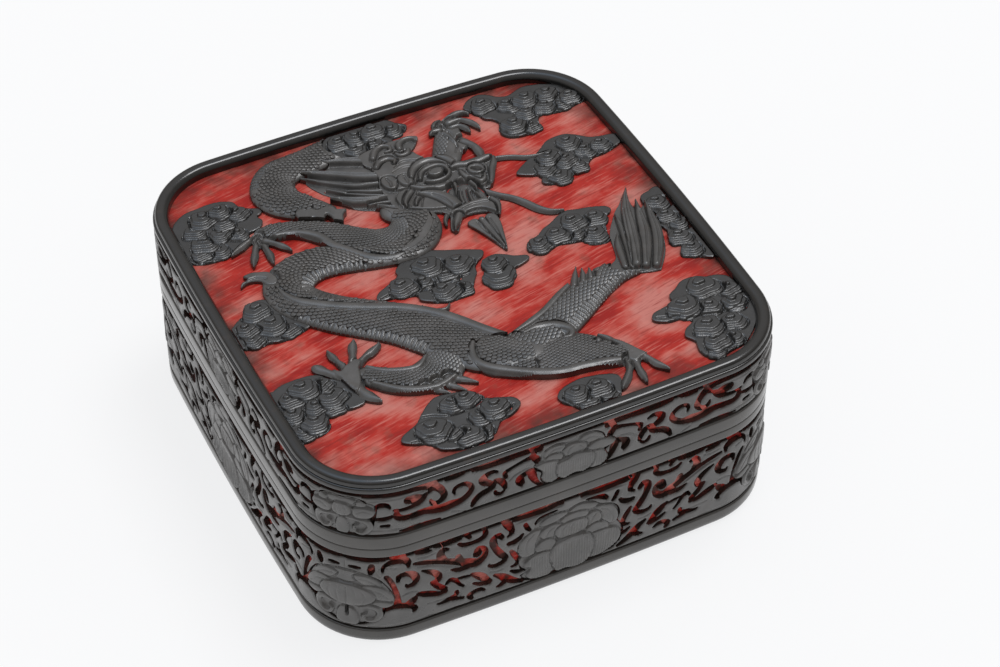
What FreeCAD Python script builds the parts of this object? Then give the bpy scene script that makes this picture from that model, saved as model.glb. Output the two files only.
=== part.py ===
import FreeCAD, Part
import math
import os

os.makedirs("parts", exist_ok=True)

# A square carved lacquer box with rounded corners and a lift-off lid.
# Millimetres, +Z up, origin under the middle of the foot, front towards -Y.

# Plan of the box, measured to the face of its plain rims
half_width = 75.0
half_depth = 75.5
corner_radius = 25.4
side_radius = 1550.0

# Heights of the bands, from the table upwards
foot_height = 5.5
base_band_height = 30.4
mouth_rim_height = 3.6
lid_rim_height = 4.8
lid_band_height = 17.2
fillet_height = 1.9
frame_rise = 2.1
panel_recess = 3.4

# Thicknesses through the wall, from the rim face inwards
ground_depth = 2.0
ground_thickness = 0.6
lid_wall_thickness = 4.0
lining_thickness = 0.5
lid_clearance = 0.4
lip_thickness = 2.0
lip_height = 4.5
base_board_thickness = 4.0
lid_board_thickness = 4.0
underside_recess = 1.0
frame_inset = 0.6
frame_width = 4.2

# Softened edges of the plain mouldings
foot_lower_round = 2.6
rim_round = 0.9
join_round = 0.5
frame_outer_round = 1.5
frame_inner_round = 1.2

# Carved bands round the sides
groove_width = 0.9
flower_proud = 0.6
lid_peony_width = 22.6
lid_peony_height = 14.2
base_peony_width = 33.0
base_peony_height = 26.5
lid_corner_flower_width = 19.0
lid_corner_flower_height = 13.0
base_corner_flower_width = 27.0
base_corner_flower_height = 21.0
peony_lobes = 10
corner_flower_lobes = 8
lobe_depth_share = 0.05

# Main openings of the carved scrolls on one half of a side, which the other half mirrors. Each is
# a curling slot: place from the side's middle as a share of half the side, then place up the band
# and half width as shares of the band's height
base_slot_shares = [
    [(0.70, 0.83, 0.016), (0.61, 0.755, 0.025), (0.52, 0.65, 0.032), (0.45, 0.56, 0.042),
     (0.405, 0.60, 0.032), (0.395, 0.68, 0.025), (0.425, 0.735, 0.028)],
    [(0.675, 0.70, 0.012), (0.625, 0.615, 0.025), (0.605, 0.55, 0.028), (0.61, 0.50, 0.025),
     (0.635, 0.49, 0.018)],
    [(0.56, 0.875, 0.014), (0.585, 0.885, 0.025), (0.595, 0.825, 0.030), (0.58, 0.755, 0.025)],
    [(0.455, 0.41, 0.016), (0.41, 0.33, 0.033), (0.37, 0.225, 0.016)],
    [(0.32, 0.775, 0.018), (0.335, 0.82, 0.025), (0.357, 0.80, 0.027), (0.36, 0.735, 0.030),
     (0.34, 0.60, 0.028), (0.30, 0.48, 0.025), (0.32, 0.435, 0.022), (0.35, 0.42, 0.018)],
    [(0.31, 0.965, 0.022), (0.28, 0.85, 0.028), (0.275, 0.795, 0.020), (0.295, 0.76, 0.012)],
    [(0.28, 0.545, 0.014), (0.25, 0.425, 0.022), (0.245, 0.365, 0.020), (0.26, 0.33, 0.015)],
    [(0.35, 0.285, 0.014), (0.30, 0.19, 0.033), (0.225, 0.07, 0.016)],
    [(0.525, 0.245, 0.016), (0.527, 0.20, 0.020), (0.56, 0.175, 0.022), (0.595, 0.155, 0.014)]]
lid_slot_shares = [
    [(0.705, 0.945, 0.035), (0.635, 0.90, 0.058), (0.60, 0.80, 0.050), (0.575, 0.68, 0.042),
     (0.573, 0.58, 0.042), (0.59, 0.495, 0.036), (0.615, 0.475, 0.032)],
    [(0.70, 0.365, 0.045), (0.62, 0.34, 0.060), (0.545, 0.325, 0.066), (0.50, 0.34, 0.048),
     (0.47, 0.415, 0.042), (0.455, 0.51, 0.038), (0.46, 0.61, 0.034), (0.48, 0.685, 0.033),
     (0.525, 0.67, 0.028)],
    [(0.695, 0.72, 0.060), (0.67, 0.69, 0.055), (0.62, 0.79, 0.015)],
    [(0.345, 0.715, 0.020), (0.36, 0.75, 0.030), (0.385, 0.73, 0.038), (0.405, 0.655, 0.050),
     (0.40, 0.57, 0.050), (0.362, 0.435, 0.045), (0.37, 0.38, 0.042), (0.41, 0.33, 0.045),
     (0.44, 0.245, 0.036)],
    [(0.35, 0.545, 0.020), (0.33, 0.485, 0.040), (0.313, 0.39, 0.040), (0.305, 0.28, 0.028)],
    [(0.304, 0.525, 0.028), (0.307, 0.625, 0.033), (0.28, 0.69, 0.025), (0.21, 0.765, 0.030),
     (0.19, 0.78, 0.042), (0.17, 0.70, 0.045), (0.155, 0.505, 0.020)],
    [(0.45, 0.93, 0.022), (0.40, 0.917, 0.036), (0.25, 0.927, 0.040), (0.19, 0.93, 0.036)],
    [(0.233, 0.20, 0.018), (0.246, 0.29, 0.036), (0.243, 0.39, 0.042), (0.215, 0.45, 0.040),
     (0.195, 0.46, 0.045), (0.187, 0.365, 0.055), (0.177, 0.245, 0.040), (0.16, 0.12, 0.028)]]

# Relief on the lid
dragon_rise = 2.9
limb_rise = 2.5
toe_rise = 1.8
whisker_rise = 1.4
mane_rise = 2.3
cloud_low_rise = 1.5
cloud_high_rise = 2.3
cloud_tier_share = 0.62

overrun = 2.0
match_tolerance = 0.001
quarter_turn = 90

# Levels that follow from the heights
base_band_level = foot_height
mouth_rim_level = base_band_level + base_band_height
join_level = mouth_rim_level + mouth_rim_height
lid_band_level = join_level + lid_rim_height
fillet_level = lid_band_level + lid_band_height
frame_level = fillet_level + fillet_height
crest_level = frame_level + frame_rise
panel_level = crest_level - panel_recess
lid_board_top = panel_level - ground_thickness
lid_board_bottom = lid_board_top - lid_board_thickness
lip_top = join_level + lip_height
underside_level = underside_recess + lining_thickness
floor_level = underside_level + base_board_thickness

# Distances in from the rim face that follow from the thicknesses
hoop_inset = ground_depth + ground_thickness
lid_hoop_inner_inset = hoop_inset + lid_wall_thickness
lid_hollow_inset = lid_hoop_inner_inset + lining_thickness
lip_inset = lid_hollow_inset + lid_clearance
lip_inner_inset = lip_inset + lip_thickness
panel_inset = frame_inset + frame_width
picture_half = min(half_width, half_depth) - panel_inset

# The dragon's long parts, as stations along the middle of each: place across the
# picture, place up the picture, and half width, as shares of half the picture's width
neck_shares = [
    (-0.16, 0.87, 0.053), (-0.28, 0.89, 0.060), (-0.41, 0.88, 0.070), (-0.50, 0.82, 0.080),
    (-0.52, 0.735, 0.088), (-0.50, 0.64, 0.082), (-0.42, 0.56, 0.075), (-0.34, 0.505, 0.065)]
trunk_shares = [
    (-0.13, 0.39, 0.060), (-0.045, 0.335, 0.070), (-0.04, 0.245, 0.072), (-0.13, 0.185, 0.078),
    (-0.25, 0.18, 0.085), (-0.37, 0.22, 0.090), (-0.51, 0.275, 0.090), (-0.64, 0.285, 0.085),
    (-0.735, 0.215, 0.082), (-0.76, 0.11, 0.085), (-0.69, -0.01, 0.090), (-0.57, -0.095, 0.093),
    (-0.425, -0.19, 0.100), (-0.30, -0.315, 0.107), (-0.20, -0.46, 0.110), (-0.09, -0.57, 0.107),
    (0.04, -0.625, 0.080)]
tail_shares = [
    (0.075, -0.555, 0.075), (0.20, -0.51, 0.080), (0.34, -0.42, 0.075), (0.48, -0.35, 0.068),
    (0.625, -0.305, 0.060), (0.705, -0.245, 0.050)]
left_foreleg_shares = [
    (-0.175, 0.215, 0.080), (-0.30, 0.30, 0.075), (-0.415, 0.41, 0.068), (-0.53, 0.49, 0.057),
    (-0.65, 0.525, 0.040)]
right_foreleg_shares = [(0.20, 0.69, 0.060), (0.28, 0.77, 0.053), (0.35, 0.83, 0.040)]
left_hind_leg_shares = [
    (-0.265, -0.51, 0.085), (-0.37, -0.60, 0.075), (-0.495, -0.545, 0.060), (-0.595, -0.44, 0.040)]
right_hind_leg_shares = [
    (0.02, -0.617, 0.095), (0.16, -0.68, 0.085), (0.295, -0.73, 0.067), (0.385, -0.79, 0.045)]

# Toes, each from the paw to its claw's tip
left_foreleg_toe_shares = [
    [(-0.64, 0.52, 0.026), (-0.75, 0.51, 0.020), (-0.825, 0.47, 0.008)],
    [(-0.65, 0.51, 0.026), (-0.72, 0.46, 0.020), (-0.76, 0.38, 0.008)],
    [(-0.65, 0.51, 0.026), (-0.68, 0.43, 0.020), (-0.69, 0.33, 0.008)],
    [(-0.64, 0.51, 0.026), (-0.62, 0.44, 0.020), (-0.60, 0.37, 0.008)]]
right_foreleg_toe_shares = [
    [(0.34, 0.82, 0.026), (0.41, 0.87, 0.020), (0.475, 0.91, 0.008)],
    [(0.34, 0.82, 0.026), (0.42, 0.83, 0.020), (0.50, 0.84, 0.008)],
    [(0.35, 0.81, 0.026), (0.40, 0.71, 0.020), (0.40, 0.585, 0.008)]]
left_hind_leg_toe_shares = [
    [(-0.61, -0.42, 0.026), (-0.67, -0.34, 0.020), (-0.71, -0.26, 0.008)],
    [(-0.61, -0.42, 0.026), (-0.61, -0.33, 0.020), (-0.605, -0.245, 0.008)],
    [(-0.60, -0.43, 0.026), (-0.55, -0.37, 0.020), (-0.505, -0.31, 0.008)],
    [(-0.62, -0.43, 0.026), (-0.70, -0.40, 0.020), (-0.78, -0.335, 0.008)],
    [(-0.61, -0.43, 0.026), (-0.66, -0.51, 0.020), (-0.645, -0.59, 0.008)]]
right_hind_leg_toe_shares = [
    [(0.38, -0.79, 0.026), (0.33, -0.87, 0.020), (0.285, -0.95, 0.008)],
    [(0.39, -0.80, 0.026), (0.39, -0.88, 0.020), (0.375, -0.96, 0.008)],
    [(0.39, -0.79, 0.026), (0.45, -0.84, 0.020), (0.48, -0.91, 0.008)],
    [(0.36, -0.76, 0.026), (0.36, -0.70, 0.016), (0.32, -0.645, 0.008)]]
whisker_shares = [
    [(0.375, 0.52, 0.018), (0.48, 0.53, 0.014), (0.59, 0.495, 0.008)],
    [(0.27, 0.45, 0.020), (0.34, 0.34, 0.016), (0.43, 0.23, 0.013), (0.525, 0.11, 0.007)]]

# Outlines of the flat relief pieces, as shares of half the picture's width
head_shares = [
    (0.0, 0.71), (0.10, 0.72), (0.19, 0.67), (0.285, 0.585), (0.41, 0.56), (0.40, 0.46),
    (0.30, 0.43), (0.28, 0.34), (0.31, 0.25), (0.20, 0.215), (0.09, 0.25), (0.0, 0.37),
    (-0.075, 0.46), (-0.085, 0.58), (-0.06, 0.66)]
mane_shares = [
    (-0.37, 0.79), (-0.20, 0.75), (-0.05, 0.69), (-0.075, 0.46), (0.0, 0.365), (-0.16, 0.41),
    (-0.30, 0.52), (-0.22, 0.56), (-0.335, 0.655), (-0.25, 0.67)]
beard_shares = [(0.145, 0.24), (0.285, 0.24), (0.27, 0.13), (0.235, -0.015), (0.18, 0.10)]
tail_tuft_shares = [
    (0.62, -0.25), (0.66, -0.12), (0.73, -0.02), (0.85, 0.09), (0.84, -0.03), (0.89, 0.0),
    (0.88, -0.14), (0.84, -0.28), (0.74, -0.375), (0.65, -0.37)]

# Clouds: for each, the lobes as place across, place up and radius
cloud_shares = {
    "cloud_top": [
        (-0.16, 0.93, 0.055), (-0.08, 0.935, 0.060), (0.02, 0.915, 0.070), (0.12, 0.93, 0.062),
        (0.055, 0.865, 0.053), (-0.045, 0.865, 0.046)],
    "cloud_top_right": [
        (0.53, 0.90, 0.065), (0.625, 0.85, 0.080), (0.75, 0.885, 0.075), (0.865, 0.83, 0.070),
        (0.625, 0.725, 0.080), (0.75, 0.77, 0.075), (0.89, 0.74, 0.062)],
    "cloud_upper_right": [
        (0.555, 0.41, 0.057), (0.66, 0.46, 0.075), (0.765, 0.495, 0.060), (0.785, 0.41, 0.075),
        (0.89, 0.425, 0.064), (0.64, 0.345, 0.067)],
    "cloud_mid_right": [
        (0.36, -0.05, 0.050), (0.465, -0.015, 0.060), (0.57, 0.035, 0.067), (0.68, 0.035, 0.062),
        (0.625, -0.07, 0.067)],
    "cloud_far_right": [
        (0.91, -0.035, 0.067), (0.92, -0.14, 0.067), (0.91, -0.245, 0.070), (0.93, -0.34, 0.053)],
    "cloud_lower_right": [
        (0.64, -0.635, 0.060), (0.73, -0.60, 0.075), (0.855, -0.565, 0.075), (0.93, -0.615, 0.053),
        (0.765, -0.705, 0.070), (0.875, -0.705, 0.067), (0.72, -0.795, 0.064), (0.84, -0.80, 0.067),
        (0.72, -0.87, 0.060)],
    "cloud_bottom_right": [(0.09, -0.875, 0.060), (0.18, -0.90, 0.060), (0.13, -0.935, 0.050)],
    "cloud_bottom": [
        (-0.57, -0.82, 0.060), (-0.48, -0.77, 0.064), (-0.355, -0.76, 0.080), (-0.245, -0.795, 0.070),
        (-0.175, -0.83, 0.053), (-0.425, -0.865, 0.070), (-0.30, -0.88, 0.067), (-0.43, -0.93, 0.057)],
    "cloud_lower_left": [
        (-0.89, -0.405, 0.075), (-0.80, -0.385, 0.064), (-0.905, -0.51, 0.075), (-0.78, -0.475, 0.070),
        (-0.72, -0.53, 0.050), (-0.89, -0.61, 0.060)],
    "cloud_mid_left": [
        (-0.895, 0.09, 0.064), (-0.815, 0.035, 0.067), (-0.905, -0.015, 0.067), (-0.80, -0.05, 0.060)],
    "cloud_upper_left": [
        (-0.86, 0.72, 0.067), (-0.765, 0.745, 0.075), (-0.685, 0.675, 0.064), (-0.89, 0.64, 0.075),
        (-0.78, 0.62, 0.080), (-0.905, 0.53, 0.070), (-0.80, 0.515, 0.064)],
    "cloud_centre": [
        (-0.32, -0.035, 0.064), (-0.23, 0.02, 0.064), (-0.125, 0.06, 0.070), (0.0, 0.035, 0.070),
        (0.07, -0.015, 0.053), (-0.16, -0.05, 0.080), (-0.05, -0.07, 0.075), (-0.16, -0.15, 0.064),
        (-0.07, -0.14, 0.053)],
    "cloud_centre_small": [(0.15, -0.095, 0.064), (0.235, -0.095, 0.053), (0.175, -0.15, 0.050)]}

# Shape of a rounded relief strand: sides of its section, and how full it is
section_sides = 6
section_width_power = 0.6
section_rise_power = 0.75
steps_per_station = 2


def corner_centre():
    """Centre of the back right corner's arc, which runs smoothly into both bowed sides."""
    reach = side_radius - corner_radius
    x = half_width - corner_radius
    y = half_depth - corner_radius
    rounds = 12
    for _ in range(rounds):
        x = math.sqrt(reach ** 2 - y ** 2) - side_radius + half_width
        y = math.sqrt(reach ** 2 - x ** 2) - side_radius + half_depth
    return x, y


def plan_wire(inset, level):
    """The box's plan outline at a level, drawn in from the rim face by an inset."""
    corner_x, corner_y = corner_centre()
    flank_x = half_width - side_radius
    flank_y = half_depth - side_radius
    side_turn = math.degrees(math.atan2(corner_y, corner_x - flank_x))
    end_turn = math.degrees(math.atan2(corner_y - flank_y, corner_x))
    half_turn = 2 * quarter_turn
    full_turn = 4 * quarter_turn
    flat_side = side_radius - inset
    corner = corner_radius - inset
    arcs = [
        (flat_side, flank_x, 0, -side_turn, side_turn),
        (corner, corner_x, corner_y, side_turn, end_turn),
        (flat_side, 0, flank_y, end_turn, half_turn - end_turn),
        (corner, -corner_x, corner_y, half_turn - end_turn, half_turn - side_turn),
        (flat_side, -flank_x, 0, half_turn - side_turn, half_turn + side_turn),
        (corner, -corner_x, -corner_y, half_turn + side_turn, half_turn + end_turn),
        (flat_side, 0, -flank_y, half_turn + end_turn, full_turn - end_turn),
        (corner, corner_x, -corner_y, full_turn - end_turn, full_turn - side_turn)]
    up = FreeCAD.Vector(0, 0, 1)
    edges = []
    for radius, x, y, start, end in arcs:
        edges.append(Part.makeCircle(radius, FreeCAD.Vector(x, y, level), up, start, end))
    return Part.Wire(edges)


def plate(inset, low, high):
    """A solid board of the box's plan."""
    face = Part.Face(plan_wire(inset, low))
    return face.extrude(FreeCAD.Vector(0, 0, high - low))


def hoop(outer_inset, inner_inset, low, high):
    """A ring that follows the box's plan, between two insets."""
    wires = [plan_wire(outer_inset, low), plan_wire(inner_inset, low)]
    face = Part.makeFace(wires, "Part::FaceMakerBullseye")
    return face.extrude(FreeCAD.Vector(0, 0, high - low))


def round_edges(solid, inset, level, radius):
    """Softens the edge that runs round a hoop or board at one inset and level."""
    radii = (side_radius - inset, corner_radius - inset)
    chosen = []
    for edge in solid.Edges:
        box = edge.BoundBox
        is_level = box.ZLength < match_tolerance and abs(box.ZMin - level) < match_tolerance
        if is_level and min(abs(edge.Curve.Radius - wanted) for wanted in radii) < match_tolerance:
            chosen.append(edge)
    return solid.makeFillet(radius, chosen)


def save(name, shape):
    """Writes one piece to its own file."""
    shape.exportStep("parts/" + name + ".step")
    solids = shape.Solids
    print(name, len(solids), "solids", round(shape.Volume), "mm3", "sound" if shape.isValid() else "BROKEN")


def foot_rim():
    """The plain moulding that the box stands on, under the wall."""
    ring = hoop(0, lip_inset, 0, foot_height)
    ring = round_edges(ring, 0, 0, foot_lower_round)
    return round_edges(ring, 0, foot_height, rim_round)


def mouth_rim():
    """The plain moulding round the top of the base."""
    ring = hoop(0, hoop_inset, mouth_rim_level, join_level)
    ring = round_edges(ring, 0, mouth_rim_level, rim_round)
    return round_edges(ring, 0, join_level, join_round)


def lid_lower_rim():
    """The plain moulding round the bottom of the lid."""
    ring = hoop(0, hoop_inset, join_level, lid_band_level)
    ring = round_edges(ring, 0, join_level, join_round)
    return round_edges(ring, 0, lid_band_level, rim_round)


def upper_fillet():
    """The narrow moulding between the lid's carved band and its top frame."""
    ring = hoop(0, hoop_inset, fillet_level, frame_level)
    soft = fillet_height / 3
    ring = round_edges(ring, 0, fillet_level, soft)
    return round_edges(ring, 0, frame_level, soft)


def top_frame():
    """The raised moulding round the picture panel, stepped to sit over the wall and the fillet."""
    crown = hoop(frame_inset, panel_inset, frame_level, crest_level)
    root = hoop(hoop_inset, panel_inset, lid_board_top, frame_level)
    frame = crown.fuse(root).removeSplitter()
    frame = round_edges(frame, frame_inset, crest_level, frame_outer_round)
    return round_edges(frame, panel_inset, crest_level, frame_inner_round)


def base_lining():
    """The lacquer inside the base: a thin floor with a thin wall standing on it."""
    lining_top = floor_level + lining_thickness
    floor = plate(lip_inner_inset, floor_level, lining_top)
    wall = hoop(lip_inner_inset, lip_inner_inset + lining_thickness, lining_top, lip_top)
    return floor.fuse(wall).removeSplitter()


def lid_lining():
    """The lacquer inside the lid: a thin ceiling with a thin wall hanging from it."""
    lining_bottom = lid_board_bottom - lining_thickness
    ceiling = plate(lid_hoop_inner_inset, lining_bottom, lid_board_bottom)
    wall = hoop(lid_hoop_inner_inset, lid_hollow_inset, join_level, lining_bottom)
    return ceiling.fuse(wall).removeSplitter()


def flower_prism(width, height, lobes, depth):
    """A lobed flower outline in the XZ plane, run back along +Y from the origin."""
    steps = 8 * lobes
    points = []
    for index in range(steps):
        turn = 2 * math.pi * index / steps
        reach = 1 - lobe_depth_share + lobe_depth_share * math.cos(lobes * turn)
        points.append(FreeCAD.Vector(width / 2 * reach * math.cos(turn), 0, height / 2 * reach * math.sin(turn)))
    curve = Part.BSplineCurve()
    curve.interpolate(Points=points, PeriodicFlag=True)
    face = Part.Face(Part.Wire([curve.toShape()]))
    return face.extrude(FreeCAD.Vector(0, depth, 0))


def flowers(low, high, width, height, lobes, at_corners):
    """Four flowers round a carved band, on the flat sides or wrapped over the corners."""
    corner_x, corner_y = corner_centre()
    skin = hoop(-flower_proud, 0, low + groove_width, high - groove_width)
    middle = (low + high) / 2
    corner_reach = math.hypot(corner_x, corner_y) + corner_radius
    if at_corners:
        lean = math.degrees(math.atan2(corner_x, corner_y))
        places = [(lean, corner_reach), (2 * quarter_turn - lean, corner_reach)]
        places += [(-lean, corner_reach), (lean - 2 * quarter_turn, corner_reach)]
        depth = corner_radius / 2
    else:
        places = side_places()
        depth = ground_depth
    found = []
    for turn, reach in places:
        prism = flower_prism(width, height, lobes, depth + flower_proud + overrun)
        prism.translate(FreeCAD.Vector(0, -reach - flower_proud - overrun, middle))
        prism.rotate(FreeCAD.Vector(0, 0, 0), FreeCAD.Vector(0, 0, 1), turn)
        found += prism.common(skin).Solids
    return Part.makeCompound(found)


def slot_outline(stations, low, high, side):
    """The closed outline of one curling slot, standing over the front."""
    half_side = math.hypot(*corner_centre()) * math.sin(math.radians(quarter_turn / 2))
    half_side += corner_radius * math.radians(quarter_turn / 2)
    band_height = high - low
    marks = []
    for along_share, up_share, half_share in stations:
        place = FreeCAD.Vector(side * half_side * along_share, 0, low + band_height * up_share)
        marks.append((place, band_height * half_share))
    upper = []
    lower = []
    for index, (place, half) in enumerate(marks):
        before = marks[max(index - 1, 0)][0]
        after = marks[min(index + 1, len(marks) - 1)][0]
        ahead = (after - before).normalize()
        across = FreeCAD.Vector(-ahead.z, 0, ahead.x)
        upper.append(place + across * half)
        lower.append(place - across * half)
    return upper + lower[::-1]


def slot_cutters(slots, low, high):
    """The openings of a carved band on all four sides."""
    depth = ground_depth + 2 * overrun
    cutters = []
    for turn, reach in side_places():
        for stations in slots:
            for side in (-1, 1):
                points = slot_outline(stations, low, high, side)
                face = Part.Face(Part.makePolygon(points + points[:1]))
                cutter = face.extrude(FreeCAD.Vector(0, depth, 0))
                cutter.translate(FreeCAD.Vector(0, -reach - overrun, 0))
                cutter.rotate(FreeCAD.Vector(0, 0, 0), FreeCAD.Vector(0, 0, 1), turn)
                cutters.append(cutter)
    return cutters


def scroll_band(slots, low, high):
    """A carved band with its main scrolls cut out, from the rim face to the red ground."""
    band = hoop(0, ground_depth, low + groove_width, high - groove_width)
    return band.cut(slot_cutters(slots, low, high))


def side_places():
    """For each flat side, its turn about the middle of the box and its distance out."""
    return [(0, half_depth), (2 * quarter_turn, half_depth), (quarter_turn, half_width), (-quarter_turn, half_width)]


def panel_point(x_share, y_share, rise):
    """A point over the picture panel."""
    return FreeCAD.Vector(picture_half * x_share, picture_half * y_share, panel_level + rise)


def strand(stations, rise):
    """A rounded raised strand that follows its stations, flat underneath."""
    marks = []
    for x_share, y_share, half_share in stations:
        place = panel_point(x_share, y_share, 0)
        marks.append(FreeCAD.Vector(place.x, place.y, picture_half * half_share))
    route = Part.BSplineCurve()
    route.interpolate(marks)
    first, last = route.FirstParameter, route.LastParameter
    count = steps_per_station * (len(stations) - 1)
    sections = []
    for index in range(count + 1):
        parameter = first + (last - first) * index / count
        place = route.value(parameter)
        ahead = route.tangent(parameter)[0]
        across = FreeCAD.Vector(-ahead.y, ahead.x, 0).normalize()
        ring = []
        for side in range(section_sides + 1):
            turn = math.pi * side / section_sides
            lean = math.copysign(abs(math.cos(turn)) ** section_width_power, math.cos(turn))
            lift = abs(math.sin(turn)) ** section_rise_power
            if side in (0, section_sides):
                lift = 0
            spot = FreeCAD.Vector(place.x, place.y, panel_level + rise * lift)
            ring.append(spot + across * (place.z * lean))
        sections.append(Part.makePolygon(ring + ring[:1]))
    return Part.makeLoft(sections, True, True)


def limb(stations, toes):
    """A leg with its clawed toes, as one solid."""
    leg = strand(stations, limb_rise)
    return leg.fuse([strand(toe, toe_rise) for toe in toes])


def relief_plate(outline, rise, smooth):
    """A flat raised piece cut to an outline, either softly curved or with straight cuts."""
    points = [panel_point(x_share, y_share, 0) for x_share, y_share in outline]
    if smooth:
        curve = Part.BSplineCurve()
        curve.interpolate(Points=points, PeriodicFlag=True)
        wire = Part.Wire([curve.toShape()])
    else:
        wire = Part.makePolygon(points + points[:1])
    return Part.Face(wire).extrude(FreeCAD.Vector(0, 0, rise))


def cloud(lobes):
    """A cloud of round lobes, each with a smaller disc raised on it."""
    discs = []
    for x_share, y_share, radius_share in lobes:
        place = panel_point(x_share, y_share, 0)
        radius = picture_half * radius_share
        discs.append(Part.makeCylinder(radius, cloud_low_rise, place))
        discs.append(Part.makeCylinder(radius * cloud_tier_share, cloud_high_rise, place))
    return discs[0].fuse(discs[1:]).removeSplitter()


def dragon_pieces():
    """The dragon's pieces, those that lie over the others first."""
    whiskers = [strand(stations, whisker_rise) for stations in whisker_shares]
    return {
        "dragon_head": relief_plate(head_shares, dragon_rise, True),
        "dragon_beard": relief_plate(beard_shares, mane_rise, False),
        "dragon_mane": relief_plate(mane_shares, mane_rise, False),
        "dragon_whiskers": Part.makeCompound(whiskers),
        "dragon_left_foreleg": limb(left_foreleg_shares, left_foreleg_toe_shares),
        "dragon_right_foreleg": limb(right_foreleg_shares, right_foreleg_toe_shares),
        "dragon_left_hind_leg": limb(left_hind_leg_shares, left_hind_leg_toe_shares),
        "dragon_right_hind_leg": limb(right_hind_leg_shares, right_hind_leg_toe_shares),
        "dragon_tail_tuft": relief_plate(tail_tuft_shares, limb_rise, False),
        "dragon_trunk": strand(trunk_shares, dragon_rise),
        "dragon_tail": strand(tail_shares, dragon_rise),
        "cloud_top": cloud(cloud_shares["cloud_top"]),
        "dragon_neck": strand(neck_shares, dragon_rise)}


def fit_relief(pieces):
    """Trims each relief piece to the panel and to the pieces that lie over it."""
    panel_space = plate(panel_inset, panel_level, crest_level)
    fitted = {}
    for name, shape in pieces.items():
        trimmed = shape.common(panel_space)
        over = [other for other in fitted.values() if other.BoundBox.intersect(trimmed.BoundBox)]
        if over:
            trimmed = trimmed.cut(over)
        fitted[name] = trimmed
    return fitted


def base_pieces():
    """Everything that stays on the table when the lid is lifted."""
    return {
        "base_foot_rim": foot_rim(),
        "base_floor_board": plate(lip_inset, underside_level, floor_level),
        "base_underside_lacquer": plate(lip_inset, underside_recess, underside_level),
        "base_wall_hoop": hoop(hoop_inset, lip_inset, foot_height, join_level),
        "base_lip_hoop": hoop(lip_inset, lip_inner_inset, floor_level, lip_top),
        "base_inner_lining": base_lining(),
        "base_red_ground": hoop(ground_depth, hoop_inset, base_band_level, mouth_rim_level),
        "base_scroll_band": scroll_band(base_slot_shares, base_band_level, mouth_rim_level),
        "base_peony_medallions": flowers(
            base_band_level, mouth_rim_level, base_peony_width, base_peony_height, peony_lobes, False),
        "base_corner_flowers": flowers(
            base_band_level, mouth_rim_level, base_corner_flower_width, base_corner_flower_height,
            corner_flower_lobes, True),
        "base_mouth_rim": mouth_rim()}


def lid_pieces():
    """The lid without the relief on its panel."""
    return {
        "lid_wall_hoop": hoop(hoop_inset, lid_hoop_inner_inset, join_level, lid_board_top),
        "lid_top_board": plate(lid_hoop_inner_inset, lid_board_bottom, lid_board_top),
        "lid_inner_lining": lid_lining(),
        "lid_lower_rim": lid_lower_rim(),
        "lid_red_ground": hoop(ground_depth, hoop_inset, lid_band_level, fillet_level),
        "lid_scroll_band": scroll_band(lid_slot_shares, lid_band_level, fillet_level),
        "lid_peony_medallions": flowers(
            lid_band_level, fillet_level, lid_peony_width, lid_peony_height, peony_lobes, False),
        "lid_corner_flowers": flowers(
            lid_band_level, fillet_level, lid_corner_flower_width, lid_corner_flower_height,
            corner_flower_lobes, True),
        "lid_upper_fillet": upper_fillet(),
        "lid_top_frame": top_frame(),
        "lid_red_panel": plate(panel_inset, lid_board_top, panel_level)}


relief = dragon_pieces()
for cloud_name, lobes in cloud_shares.items():
    if cloud_name not in relief:
        relief[cloud_name] = cloud(lobes)
relief = fit_relief(relief)

for group in (base_pieces(), lid_pieces(), relief):
    for piece_name, piece in group.items():
        save(piece_name, piece)
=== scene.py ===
import bpy
import math
import numpy as np
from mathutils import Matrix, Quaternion, Vector
from mathutils.geometry import tessellate_polygon


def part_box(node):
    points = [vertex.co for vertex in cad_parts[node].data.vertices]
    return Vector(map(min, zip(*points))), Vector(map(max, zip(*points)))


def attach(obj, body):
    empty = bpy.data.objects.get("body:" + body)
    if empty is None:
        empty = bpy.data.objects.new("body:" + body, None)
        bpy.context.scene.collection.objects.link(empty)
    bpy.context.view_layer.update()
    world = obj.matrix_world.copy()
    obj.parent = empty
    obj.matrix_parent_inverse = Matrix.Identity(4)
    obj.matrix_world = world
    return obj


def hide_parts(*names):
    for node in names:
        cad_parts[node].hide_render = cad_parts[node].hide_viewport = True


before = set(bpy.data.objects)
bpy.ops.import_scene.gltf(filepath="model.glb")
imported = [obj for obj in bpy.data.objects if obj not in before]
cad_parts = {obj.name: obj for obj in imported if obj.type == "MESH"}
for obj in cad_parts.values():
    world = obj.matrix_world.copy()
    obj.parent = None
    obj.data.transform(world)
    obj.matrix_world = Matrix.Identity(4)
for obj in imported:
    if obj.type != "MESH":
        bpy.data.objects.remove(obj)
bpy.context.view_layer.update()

# Camera.
# The photograph looks down on the box from the front left, through a long lens, so its sides
# hardly converge. The values below put the box where it stands in the photograph.
view_turn = math.radians(-26.39)
view_tilt = math.radians(43.56)
view_roll = math.radians(0.23)
view_distance = 0.79998
view_target = Vector((0.01381, -0.00111, 0.030))
view_lens = 95.10
view_back = Vector((
    math.sin(view_turn) * math.cos(view_tilt),
    -math.cos(view_turn) * math.cos(view_tilt),
    math.sin(view_tilt)))
camera_data = bpy.data.cameras.new("camera")
camera_data.lens = view_lens
camera_data.sensor_width = 36
camera_data.clip_start = 0.01
camera = bpy.data.objects.new("camera", camera_data)
camera.rotation_mode = "QUATERNION"
camera.location = view_target + view_back * view_distance
camera.rotation_quaternion = view_back.to_track_quat("Z", "Y") @ Quaternion((0, 0, 1), view_roll)
bpy.context.scene.collection.objects.link(camera)
bpy.context.scene.camera = camera
bpy.context.scene.view_settings.view_transform = "Standard"


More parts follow.
